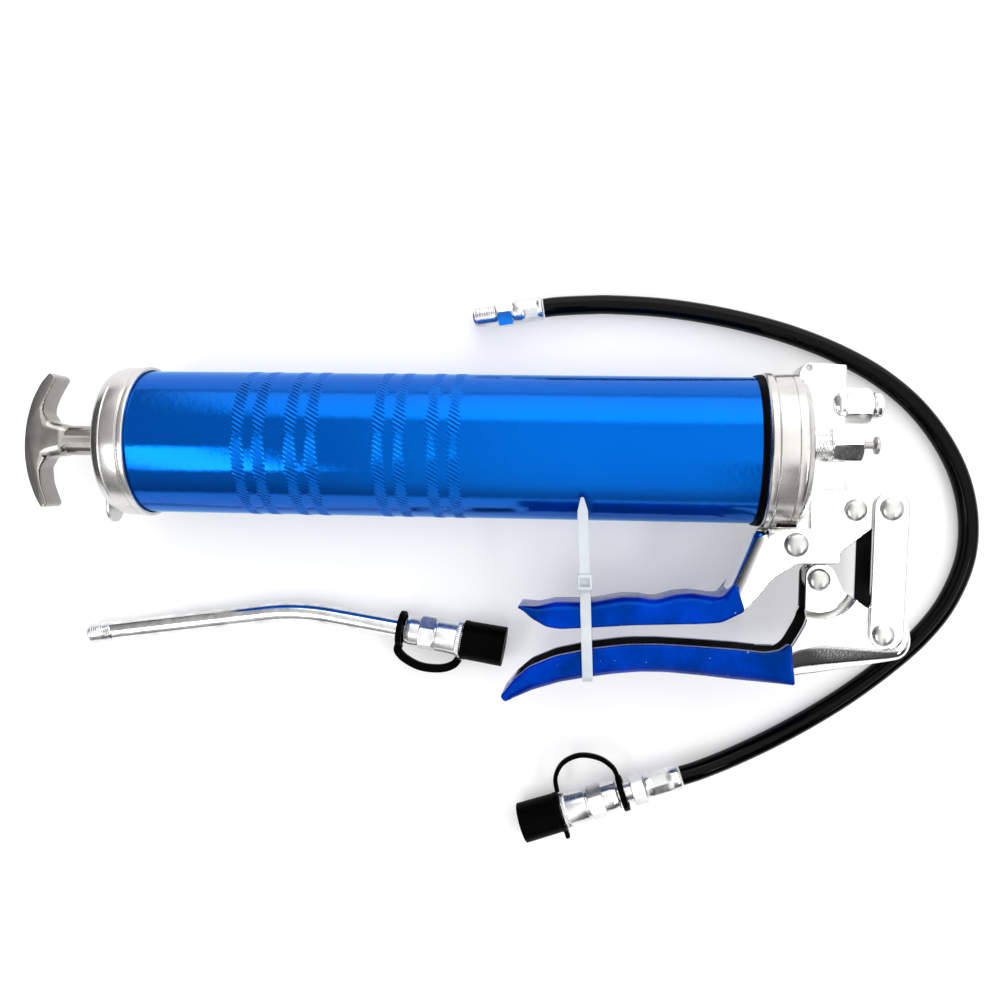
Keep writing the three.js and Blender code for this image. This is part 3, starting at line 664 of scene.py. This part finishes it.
def make_hose_front():
    place = placed(**HOSE_END)
    ferrule = make_ferrule("hose_collar_front", 0.3, 12.4, 4.95, place, "hose_ferrule_front")
    hexagon = nut("hose_end_hexagon", 12.7, 19.3, 10.4, 2, 0.7, 30)
    neck = ring("neck", [(12.5, 2), (12.5, 4.2), (12.9, 4.2), (12.9, 2)])
    screw = thread("screw", 19.1, 28.8, 4.35, 1, 0.5, 2)
    tip = ring("tip", [(28.5, 1.9), (28.5, 3.7), (29.4, 3.2, 0.2), (29.4, 1.9)])
    fitting = united(hexagon, neck, screw, tip)
    done(fitting, ZINC, "hose", "hose_male_fitting", place=place)
    return ferrule, fitting


def make_hose_back():
    place = placed(**HOSE_COUPLER)
    flipped = place @ Matrix.Translation((-21.4, 0, 0)) @ Matrix.Rotation(math.pi, 4, "Z")
    ferrule = make_ferrule("hose_collar_back", 0.1, 14.6, 5.2, flipped, "hose_ferrule_back")
    nipple = united(
        nut("nipple", -21, -15.4, 11.4, 2, 0.7, 12),
        ring("nipple_neck", [(-15.6, 2), (-15.6, 4.2, 0.3), (-9.6, 4.2), (-9.6, 2)]),
    )
    done(nipple, SATIN, "hose", "hose_coupler_nipple", place=place)
    return ferrule, nipple


# The ways that the two dust caps' straps take beside their couplers.
HOSE_LOOP = [(-10.6, -11.5, 0), (-6.4, -16.8, 0), (1, -20.2, 0), (8.6, -19.2, 0), (13.4, -14.4, 0)]
PIPE_LOOP = [(-11.2, -9.6, 0), (-7.4, -12.4, 0), (-0.5, -14.4, 0), (7.4, -13.8, 0), (12.6, -11.4, 0)]


def make_coupler(prefix, body, place, spin, loop, thickness, tab=False):
    """Gripping coupler with its hexagon, knurled sleeve, rubber strap and dust cap."""
    barrel = united(
        nut(f"{prefix}_coupler", -3.4, 3.4, 12.7, 4.3, 0.8, spin),
        ring("sleeve_back", [(-9.2, 4.6), (-9.2, 5.7, 0.4), (-7.2, 6.3, 0.6), (-3.2, 6.3), (-3.2, 4.6)]),
        ring("sleeve_front", [(3.2, 4.3), (3.2, 6.3), (3.9, 6.3, 0.1), (4.2, 7.0, 0.3),
                              (12.6, 7.1, 0.1), (13.2, 6.3, 0.1), (26.3, 6.0, 0.6), (26.3, 4.5)]),
    )
    done(barrel, SATIN, body, f"{prefix}_coupler_body", place=place)
    knurl_count = 54

    def knurled(angle):
        return 6.95 + 0.3 * abs(math.sin(knurl_count * angle / 2))

    rings = [(12.2, 6.5), (12.2, 6.9), (12.5, knurled), (14.3, knurled), (14.7, 6.9), (14.7, 6.5)]
    knurl = lathe(f"{prefix}_coupler_knurl", rings, knurl_count * 6, closed=True)
    done(knurl, SATIN, body, place=place, smooth=60)

    cap = ring(f"{prefix}_cap", [(15, 6.6), (15, 8.2, 0.4), (17.0, 8.3, 0.2), (17.3, 8.1, 0.2),
                                 (32.9, 8.3, 0.35),
                                 (32.9, 1.2, 0.3), (32.3, 0.9), (29, 0.9), (29, 6.6)], steps=4)
    if tab:
        outline = [(15.1, 7.6), (16.9, 7.6), (16.9, 11.4, 0.5), (15.1, 11.4, 0.5)]
        united(cap, slab("tab", outline, -1.6, 1.6, 0.3))
    done(cap, RUBBER, f"{body}_cap", f"{prefix}_dust_cap", place=place)

    collar = ring("collar", [(-12.6, 6.4), (-12.6, 7.5, 0.5), (-10.2, 7.5, 0.5), (-10.2, 6.4)])
    loop = smooth_path([(-11.4, -6.9, 0), *loop, (14.6, -8.4, 0)], 8)
    strap = united(collar, sweep("loop", loop, flat_section(thickness, 3.2, 0.5)))
    strap.name = f"{prefix}_strap"
    done(strap, RUBBER, body, f"{prefix}_cap_strap", place=place)
    return [barrel, knurl, cap, strap]


# ---------------------------------------------------------------- barrel
KNURL_BANDS = (-196.9, -188.8, -176.6, -168.6, -143.1, -135.2, -122.8, -114.6)
RIDGES = 98
TUBE_RADIUS = 28.5
TUBE_BORE = 27.0


def make_barrel():
    def ridged(x, weight):
        def radius(angle):
            return TUBE_RADIUS + weight * 0.12 * (0.1 + math.sin(RIDGES * angle - x * 2.1))
        return radius

    rings = [(-251.2, TUBE_BORE), (-251.2, TUBE_RADIUS)]
    for centre in KNURL_BANDS:
        rings.append((centre - 2.8, TUBE_RADIUS))
        for k in range(13):
            t = k / 12
            x = centre - 2.6 + 5.2 * t
            rings.append((x, ridged(x, min(1, 4 * t, 4 - 4 * t))))
        rings.append((centre + 2.8, TUBE_RADIUS))
    rings += [(BARREL_FRONT, TUBE_RADIUS), (BARREL_FRONT, TUBE_BORE)]
    done(lathe("barrel", rings, RIDGES * 6, closed=True), ENAMEL, "barrel", "barrel_tube", smooth=50)

    seal = ring("head_gasket", [(-0.9, 28.7), (-0.9, 29.2, 0.4), (1.6, 29.6, 0.3), (1.6, 28.7)])
    done(seal, RUBBER, "barrel", "barrel_gasket")

    cap = ring("barrel_cap", [
        (-255, 6), (-255, 25.6, 2.4), (-253.9, 28.4, 1.6), (-250.9, 29.3, 0.8), (-250.3, 29.1, 0.2),
        (-249.7, 29.8, 0.3), (-244.1, 29.9, 0.2), (-243.6, 29.2, 0.3), (-242.9, 30.2, 0.5),
        (-240.8, 30.2, 0.7), (-240.8, 28.9), (-251.5, 28.9), (-251.5, 6),
    ], 160, 4)
    done(cap, POLISHED, "barrel", "rear_cap")


def make_rod():
    plate = slab("lock_tab", [(-33, -7, 6.9), (12, -7, 2), (12, 7, 2), (-33, 7, 6.9)], -258, -256.6, 0.3)
    plate.data.transform(Matrix(((0, 0, 1, 0), (1, 0, 0, 0), (0, 1, 0, 0), (0, 0, 0, 1))))
    carved(plate, lathe("hole", [(-260, 0), (-260, 6.1), (-250, 6.1), (-250, 0)], 48))
    done(plate, POLISHED, "rod_lock", "rod_lock_plate")

    rod = turned("pull_rod", [(-277, 0), (-277, 3), (-269.7, 3), (-269.7, 5.5, 0.5), (-37, 5.5, 0.5),
                              (-37, 3),
                              (-18, 3, 0.4), (-18, 0)], 72)
    done(rod, DARK_CAST, "follower_rod", "follower_rod")

    bar = slab("pull_handle", HANDLE, -6.5, 6.5, 0.5, HANDLE_ROUND, steps=6, under=3)
    hub = turned("hub", [(-286, 0), (-286, 3, 2), (-279, 6, 6), (-258.8, 6.0, 0.3), (-258.8, 0)], 96)
    united(bar, hub)
    socket = [(-277.4, 0), (-277.4, 3.25), (-269.9, 3.25), (-269.9, 5.6), (-250, 5.6), (-250, 0)]
    carved(bar, lathe("socket", socket, 48))
    done(bar, DARK_CAST, "follower_rod", "t_handle", smooth=40)


# Outline of the T handle's crossbar: it is rounder where it runs into the hub.
HANDLE = [
    (-274.6, -6, 5.9), (-274.6, 6, 5.9), (-282.4, 7.2, 3.5), (-285.4, 11.8, 4), (-283.8, 16.8, 12),
    (-279.6, 25.2, 1.4), (-282, 27.4, 1.6), (-285.7, 23.2, 12), (-289.3, 16.6, 25), (-291.8, 7.8, 40),
    (-292.6, 0, 60), (-292.5, -8, 40), (-290.8, -15.8, 30), (-288.2, -22.7, 20), (-285.2, -28, 1.6),
    (-282.8, -26, 1.4), (-285.8, -17.8, 12), (-286.2, -11.6, 4), (-283.4, -6.9, 3.5),
]
HANDLE_ROUND = {0: 5, 1: 5, 2: 3.6, 3: 1.4, 17: 1.4, 18: 3.6}


# ---------------------------------------------------------------- pump head
FRAME_RIVETS = ((14.8, -35.8), (36.5, -22.2))
FRAME_PIVOT = (49.2, -21.5)
LEVER_PIVOT = (47, -68.9)
PLUNGER_PIVOT = (24.3, -49.2)

# Half widths over the sheet steel channels, inside them, and over the vinyl on them.
CHANNEL_OUT, CHANNEL_IN = 11.4, 9.2
LINK_OUT, LINK_IN = 13.9, 11.7
VINYL_OUT, VINYL_BORE, VINYL_GAP = 12.6, 11.6, 9.0


def make_head():
    cap = ring("pump_cap", [
        (1.9, 28.9), (1.9, 29.5, 0.3), (2.6, 30.25, 0.7), (4.8, 30.25, 0.7), (5.7, 29.5, 0.3),
        (12.1, 29.7, 0.15), (12.3, 29.2, 0.1), (12.5, 29.7, 0.15), (15.4, 29.8, 2.2),
        (18.0, 27.2, 1.8), (18.7, 22, 1.5), (18.7, 3), (14.4, 3), (14.4, 28.9),
    ], 160, 4)
    upper = slab("upper", [(33, -16), (33, 32.9, 0.8), (15.2, 33.9, 4.5), (15.2, -16)], -7.5, 7.5, 0.35)
    lower = slab("lower", [(8, -40.5, 1), (31, -40.5, 1), (31, -37.6, 0.5), (41.5, -27.6, 2),
                           (41.5, -15.5, 2),
                           (15, -15.5), (15, -29.3), (8, -29.3)], -8.9, 8.9, 0.4)
    boss = turned("boss", [(26, 0), (26, 3.4, 1), (27.8, 7.6, 3), (31, 9, 3), (33.2, 9, 0.4), (33.2, 0)])
    boss.data.transform(Matrix.Translation((0, 18, 0)))
    seat = turned("seat", [(14.6, 0), (14.6, 7.6), (19.6, 7.6, 0.5), (19.6, 0)], 64)
    seat.data.transform(Matrix.Translation((0, 2, 16)))
    united(cap, upper, lower, boss, seat)
    bore = lathe("bore", [(-44, 0), (-44, 6.7), (-36.6, 6.7), (-36.6, 4.3), (-10, 4.3), (-10, 0)], 48)
    bore.data.transform(Matrix.Translation((24.3, 0, 0)) @ Matrix.Rotation(math.radians(90), 4, "Z"))
    way_out = lathe("way_out", [(22, 0), (22, 3.6), (28.2, 3.6), (28.2, 5), (35, 5), (35, 0)], 48)
    way_out.data.transform(Matrix.Translation((0, 18, 0)))
    carved(cap, bore, way_out, pillar("lug_hole", 18.9, 31.7, 1.3, -9, 9, 32),
           *[pillar("rivet_hole", x, y, 2.8, -10, 10, 32) for x, y in FRAME_RIVETS])
    done(edged(cap, 0.2, 2, 50), CAST, "pump_head", "head_casting")
    cap.data.materials.append(POLISHED)
    for polygon in cap.data.polygons:
        across = polygon.center - ORIGIN
        if math.hypot(across.y, across.z) > 0.0265 and across.x < 0.0188:
            polygon.material_index = 1


def make_outlets():
    out = placed(0, 18)
    adapter = united(
        nut("hose_adapter", 33.5, 44, 12.1, 2.7, 0.8, 0),
        ring("root", [(29.4, 2.7), (29.4, 4.7), (33.6, 4.7), (33.6, 2.7)]),
        ring("nose", [(43.4, 2.7), (43.4, 4.8, 0.3), (44.7, 4.6, 0.2), (44.8, 4.0, 0.1), (48.4, 4.0, 0.3),
                      (48.4, 2.7)]),
    )
    done(adapter, ZINC, "pump_head", "outlet_adapter", place=out)
    mouth = ring("adapter_ring", [(44.9, 4.3), (44.9, 4.7, 0.3), (45.5, 5.1, 0.5), (47.4, 5.1, 0.6),
                                  (48, 4.6, 0.3), (48, 4.3)])
    done(mouth, ZINC, "pump_head", "outlet_ring", place=out)

    bleed = placed(0, 2, 16)
    valve = united(
        nut("bleeder", 25.3, 36.8, 11.7, 1.6, 0.8, 30),
        thread("bleeder_screw", 16.8, 26.1, 5.0, 1.25, 0.55, 1.6),
        ring("bleeder_nose", [(36.6, 1.6), (36.6, 3.2, 0.2), (37.8, 3.0, 0.5), (37.8, 1.6)]),
    )
    done(valve, ZINC, "pump_head", "bleeder_body", place=bleed)
    stem = turned("bleeder_pin", [(22.4, 0), (22.4, 1.2), (41.2, 1.25, 0.2), (41.8, 3.2, 0.4),
                                  (42.2, 3.35, 0.2),
                                  (43.2, 3.3, 0.4), (43.2, 0)], 64)
    done(stem, BARE, "bleeder_stem", "bleeder_stem", place=bleed)


# ---------------------------------------------------------------- frame and fixed grip
def make_rivet(name, node, body, spot, base, radius, height=2.3):
    half = [(base, 2.5), (base, radius - 0.15, 0.05), (base + 0.35, radius, 0.15)]
    for k in range(1, 7):
        angle = math.pi / 2 * k / 6
        across = radius * math.cos(angle) if k < 6 else 0
        half.append((base + 0.35 + (height - 0.35) * math.sin(angle), across))
    profile = [(-x, r) for x, r, *_ in reversed(half)] + [(x, r) for x, r, *_ in half]
    piece = lathe(name, profile, 48)
    turn = Matrix.Translation((*spot, 0)) @ Matrix.Rotation(math.radians(-90), 4, "Y")
    return done(piece, RIVET, body, node, place=turn, smooth=40)


FRAME = [
    (-84, -65.2, 4), (-76, -68.4, 10), (-46, -66.4, 60), (-13, -65.1, 10), (-4.4, -61.6, 6),
    (0.6, -56.6, 8), (6.4, -48.8, 12), (15.5, -43.2, 8), (31.2, -42.9, 1), (31.2, -38.5, 1),
    (42.8, -29.1, 3), (56.6, -29, 7.4), (56.6, -14.1, 7.3), (19.8, -14.6, 1), (19.8, -29.7, 0.6),
    (9, -29.7), (0.4, -29.7, 8), (-12, -57.7, 7), (-26, -57.3, 20), (-38, -60.2, 20), (-50, -59.3, 30),
    (-70, -61.9, 30), (-87.6, -63, 1),
]
FRAME_FOLD = {16: 5, 17: 6, 18: 4, 19: 3.4, 20: 3.4, 21: 3, 22: 1}
FRAME_INSIDE_FOLD = {corner: max(radius - 1.5, 0.3) for corner, radius in FRAME_FOLD.items()}


def shifted(corners, dx, dy):
    return [(x + dx, y + dy, *rest) for x, y, *rest in corners]


def make_frame():
    shell = slab("frame", FRAME, -CHANNEL_OUT, CHANNEL_OUT, 0.45, FRAME_FOLD, steps=8)
    inside = slab("inside", shifted(FRAME, 2.2, -2.1), -CHANNEL_IN, CHANNEL_IN, 0.05, FRAME_INSIDE_FOLD)
    carved(shell, inside, block("open_front", 3.6, 60, -60, -10, -CHANNEL_IN, CHANNEL_IN),
           block("open_top", -5, 10, -31, -20, -CHANNEL_IN, CHANNEL_IN),
           *[pillar("hole", x, y, 2.8, -14, 14, 32) for x, y in (*FRAME_RIVETS, FRAME_PIVOT)])
    done(shell, PLATE, "pump_head", "grip_frame")

    for k, (level, spot, radius) in enumerate(zip(("lower", "upper"), FRAME_RIVETS, (4.6, 4.2))):
        make_rivet(f"frame_rivet_{k}", f"frame_rivet_{level}", "pump_head", spot, 11.55, radius)


FIXED_GRIP = [
    (-92.0, -61.6, 1.2), (-83.5, -61.8, 8), (-76.5, -60.0, 8), (-62, -59.7, 14), (-50.5, -57.4, 12),
    (-43.7, -57.4, 8), (-38, -58.3, 10), (-30, -55.9, 12), (-24, -55.3, 10), (-16, -56.2, 10),
    (-12.4, -56.4, 3), (-7.6, -50.4, 1), (-3.8, -61.6, 1.5), (-12.6, -66.2, 10), (-20.8, -66.9, 20),
    (-46.6, -68.1, 60), (-61.9, -69.4, 40), (-74.2, -70.3, 12), (-79.6, -69.6, 8), (-85.1, -66.6, 8),
    (-88.6, -63.6, 3),
]
FIXED_GRIP_FOLD = {0: 1.2, 1: 3.5, **{corner: 4.6 for corner in range(2, 10)}, 10: 2.6, 11: 1}


def make_fixed_grip():
    sleeve = slab("fixed_handle", FIXED_GRIP, -VINYL_OUT, VINYL_OUT, 1.0, FIXED_GRIP_FOLD, steps=6)
    steel = slab("steel", FRAME, -VINYL_BORE, VINYL_BORE, 0.2, FRAME_INSIDE_FOLD)
    inside = slab("inside", shifted(FRAME, 2.2, -2.1), -VINYL_GAP, VINYL_GAP, 0.1)
    below = block("below", -80, -10, -80, -66, -VINYL_GAP, VINYL_GAP)
    carved(sleeve, steel, inside, below)
    done(sleeve, VINYL, "pump_head", "fixed_grip", smooth=50)


# ---------------------------------------------------------------- lever and link
LEVER = [
    (15.7, -87.9, 60), (59.5, -77.4, 7), (56.6, -61.6, 7), (41.3, -58.6, 1.5), (33.5, -53.4, 3),
    (28.9, -43.6, 4.4), (19.6, -43.6, 4.5), (19.5, -64.5, 14), (12.2, -77.6, 9), (2, -78.6, 20),
    (-22, -76.7, 60), (-52, -77.7, 60), (-79, -83.2, 24), (-90.5, -92, 10), (-94.2, -96.8, 1.2),
    (-77, -90.2, 30), (-53.5, -86.6, 60), (-30, -85, 80), (-8, -86.4, 80),
]
CREASE = [(1, 0), (0.72, 0.09), (0.46, 0.24), (0.38, 0.31), (0.28, 0.43), (0.18, 0.57), (0.1, 0.71),
          (0.04, 0.86), (0, 1)]
LEVER_FOLD = {0: 9, 1: 2.5, 13: 1.0, 14: 1.0, 15: 3, 16: 4, 17: 4, 18: 5}
LEVER_INSIDE_FOLD = {0: 6, 1: 1, 13: 0.4, 14: 0.4, 15: 1.8, 16: 2.4, 17: 2.4, 18: 3}


def make_lever():
    shell = slab("lever", LEVER, -CHANNEL_OUT, CHANNEL_OUT, 0.45, LEVER_FOLD, spread=1.3, profile=CREASE)
    inside = slab("inside", shifted(LEVER, 0, 2.2), -CHANNEL_IN, CHANNEL_IN, 0.05, LEVER_INSIDE_FOLD)
    x, y = PLUNGER_PIVOT
    carved(shell, inside, pillar("recess", x, y, 15, -14, 14, 96))
    for side in (1, -1):
        dish = ring("dish", [(5.2, 3.3), (7.4, 3.3), (7.4, 12.2, 1.6), (11.4, 14.9, 0.8), (11.4, 15.6),
                             (9.2, 15.6), (9.2, 15.3, 1.0), (5.2, 12.8, 1.4)], 96)
        turn = Matrix.Translation((x, y, 0)) @ Matrix.Rotation(math.radians(-90 * side), 4, "Y")
        dish.data.transform(turn)
        combined(dish, [slab("outline", LEVER, -11.5, 11.5, 0.02)], "INTERSECT")
        united(shell, dish)
    carved(shell, pillar("hole", *LEVER_PIVOT, 2.8, -14, 14, 48))
    # Painted shade on the inside faces of the lever channel.
    paint_shade_inside(done(shell, PLATE, "lever", "lever_channel"), 9.3)


LEVER_GRIP = [
    (15.4, -89.3, 1), (13.9, -72.8, 1.2), (9.3, -76.2, 3), (4.1, -77.2, 6), (-5.7, -76.4, 20),
    (-20.7, -75.7, 40), (-36, -75.2, 60), (-48, -75.6, 60), (-62, -77.6, 40), (-76, -80.8, 20),
    (-86, -85.2, 10), (-91.8, -90.4, 6), (-97.0, -97.0, 1.2), (-95.2, -99.2, 1.4), (-92.4, -98, 5),
    (-84.8, -94.7, 20), (-73.9, -91.3, 30), (-63.9, -89.3, 40), (-53.8, -87.6, 60), (-43.1, -86.4, 60),
    (-33.1, -86.3, 60), (-20, -87.1, 60), (-8, -88.2, 80),
]
LEVER_GRIP_FOLD = {0: 2, 13: 1.0, 14: 2, 15: 4, **{corner: 4.6 for corner in range(16, 23)}}


def make_lever_grip():
    sleeve = slab("lever_handle", LEVER_GRIP, -VINYL_OUT, VINYL_OUT, 1.0, LEVER_GRIP_FOLD, steps=6)
    steel = slab("steel", LEVER, -VINYL_BORE, VINYL_BORE, 0.2, LEVER_INSIDE_FOLD)
    inside = slab("inside", shifted(LEVER, 0, 2.2), -VINYL_GAP, VINYL_GAP, 0.1)
    above = slab("above", shifted(LEVER, 0, 5.5), -VINYL_GAP, VINYL_GAP, 0.1)
    carved(sleeve, steel, inside, above, block("lip", 3, 20, -77.4, -66, -14, -9))
    # Painted shade on the inside faces of the lever's vinyl sleeve.
    paint_shade_inside(done(sleeve, VINYL, "lever", "lever_grip", smooth=50), 9.1)


def make_link():
    flange = [(42, -75, 6), (55, -75, 6), (56.7, -15, 6), (42.9, -15, 6)]
    shell = slab("link", flange, -LINK_OUT, LINK_OUT, 0.5, {1: 1.8, 2: 1.8}, steps=5)
    carved(shell, slab("inside", shifted(flange, -2.2, 0), -LINK_IN, LINK_IN, 0.05, {1: 0.6, 2: 0.6}),
           block("top", 30, 60, -28, -10, -LINK_IN, LINK_IN),
           block("bottom", 30, 60, -80, -56.5, -LINK_IN, LINK_IN),
           *[pillar("hole", x, y, 2.6, -16, 16, 32) for x, y in (FRAME_PIVOT, LEVER_PIVOT)])
    # Painted shade on the inside faces of the link channel.
    paint_shade_inside(done(shell, PLATE, "link", "link_channel"), 11.8)
    make_rivet("link_pin_top", "link_upper_pin", "pump_head", FRAME_PIVOT, 14.1, 4.4)
    make_rivet("link_pin_bottom", "link_lower_pin", "link", LEVER_PIVOT, 14.1, 4.2)


def make_plunger():
    x, y = PLUNGER_PIVOT
    shaft = turned("piston", [(y + 2, 0), (y + 2, 4), (-16, 4, 0.4), (-16, 0)], 64)
    shaft.data.transform(Matrix.Translation((x, 0, 0)) @ Matrix.Rotation(math.radians(90), 4, "Z"))
    eye = [(x - 4.4, y - 4.4, 4), (x + 4.4, y - 4.4, 4), (x + 4.4, y + 4.6, 0.8), (x - 4.4, y + 4.6, 0.8)]
    head = slab("head", eye, -4.6, 4.6, 0.4)
    united(shaft, head)
    carved(shaft, pillar("hole", x, y, 2.6, -6, 6, 32))
    done(shaft, BARE, "plunger", "plunger")
    make_rivet("piston_pin", "plunger_pin", "plunger", PLUNGER_PIVOT, 7.7, 4.3)


# ---------------------------------------------------------------- cable tie
def make_cable_tie():
    x, reach, top, end = -65, 13.8, -53.6, -90
    loop = rounded([(-70, reach), (end, reach, 3.4), (end, -reach, 3.4), (top, -reach, 3.4),
                    (top, reach, 3.4),
                    (-70.2, reach + 0.05)], steps=5)
    path = []
    for first, second in zip(loop, loop[1:]):
        parts = max(1, int((second - first).length / 2))
        path += [Vector((x, *first.lerp(second, k / parts))) for k in range(parts)]
    path.append(Vector((x, *loop[-1])))
    strip = sweep("tie", path, flat_section(1.0, 4.1, 0.25), up=Vector((1, 0, 0)))
    lock = slab("lock", [(-67.8, -54.6, 0.8), (-62.2, -54.6, 0.8), (-62.2, -48.4, 0.8),
                         (-67.8, -48.4, 0.8)],
                reach - 0.4, reach + 4.2, 0.5)
    carved(lock, block("slot", -66.9, -63.1, -53.2, -49.8, reach + 1.2, reach + 6))
    tail = slab("tail", [(-67, -2), (-63, -2), (-63, 27), (-64.4, 32.4, 0.4), (-65.6, 32.4, 0.4),
                         (-67, 27)],
                -0.5, 0.5, 0.2)
    lift = Matrix.Translation((0, -50.6, reach + 1.8))
    tail.data.transform(lift @ Matrix.Rotation(math.radians(14), 4, "X"))
    lean = (Matrix.Translation((x, -50, 0)) @ Matrix.Rotation(math.radians(2.6), 4, "Z")
            @ Matrix.Translation((-x, 50, 0)))
    done(united(lock, strip, tail), NYLON, "pump_head", "cable_tie", place=lean, smooth=40)


def make_spring():
    """The follower's spring: close turns at both ends, held between the rear cap and the follower."""
    turns, radius, back, front = 8, 18, -249.6, -39
    count = turns * 36
    path = []
    for k in range(count + 1):
        t = k / count
        angle = 2 * math.pi * turns * t
        lead = min(max((t - 0.06) / 0.88, 0), 1)
        along = back + (front - back) * lead
        path.append(Vector((along, radius * math.cos(angle), radius * math.sin(angle))))
    bm = bmesh.new()
    loops = []
    for p in path:
        out = Vector((0, p.y, p.z)).normalized()
        loops.append([bm.verts.new(p + out * a + Vector((b, 0, 0))) for a, b in round_section(1.2, 10)])
    for first, second in zip(loops, loops[1:]):
        bridge(bm, first, second)
    bm.faces.new(loops[0])
    bm.faces.new(reversed(loops[-1]))
    spring = done(add_mesh("spring", bm), BARE, None, "follower_spring", smooth=60)
    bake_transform(spring)


# ---------------------------------------------------------------- rigid pipe
def make_pipe():
    end = Vector((-269.3, -81.5, 4.6 + TABLE))
    bend = Vector((-187.2, -69.8, 6.7 + TABLE))
    socket = Vector((-137.4, -77.25, 8.5 + TABLE))
    before = bend + (end - bend).normalized() * 15
    after = bend + (socket - bend).normalized() * 15
    path = [end.lerp(before, k / 20) for k in range(20)]
    path += [before.lerp(bend, t).lerp(bend.lerp(after, t), t) for t in (k / 16 for k in range(17))]
    path += [after.lerp(socket, k / 12) for k in range(1, 13)]
    tube = sweep("bent_pipe", path, round_section(3.95, 40))
    outward = (end - bend).normalized()
    turn = Matrix.Translation(end) @ outward.to_track_quat("X", "Z").to_matrix().to_4x4()
    screw = thread("pipe_screw", -0.4, 10.4, 4.35, 1, 0.5, 2)
    screw.data.transform(turn)
    tip = ring("pipe_tip", [(9.8, 1.9), (9.8, 3.7, 0.1), (10.7, 3.2, 0.2), (10.7, 1.9)])
    tip.data.transform(turn)
    done(united(tube, screw, tip), ZINC, "pipe", "rigid_pipe", smooth=40)
    make_coupler("pipe", "pipe", placed(**PIPE_COUPLER), 8, PIPE_LOOP, 3.3)


# ---------------------------------------------------------------- inside the barrel and the couplers
def dress_hidden_nodes():
    """The CAD nodes inside the barrel and the couplers keep their shape and get these materials."""
    dresses = {
        "follower_washer": ZINC, "follower_cup": RUBBER, "follower_nut": ZINC, "check_ball": BARE,
        "check_spring": BARE,
        "plunger_seal": RUBBER, "hose_coupler_seal": RUBBER, "hose_coupler_jaws": BRASS,
        "pipe_coupler_seal": RUBBER,
        "pipe_coupler_jaws": BRASS,
    }
    for node, material in dresses.items():
        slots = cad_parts[node].data.materials
        slots.clear()
        slots.append(material)


# ---------------------------------------------------------------- assembly
add_camera()
add_stage()
hose, hose_exit, hose_length = make_hose()
front_pieces = make_hose_front()
back_pieces = make_hose_back()
hose_coupler = make_coupler("hose", "hose", placed(**HOSE_COUPLER), 0, HOSE_LOOP, 1.8, tab=True)
make_barrel()
make_rod()
make_spring()
make_head()
make_outlets()
make_frame()
make_fixed_grip()
make_lever()
make_lever_grip()
make_link()
make_plunger()
make_cable_tie()
make_pipe()
dress_hidden_nodes()
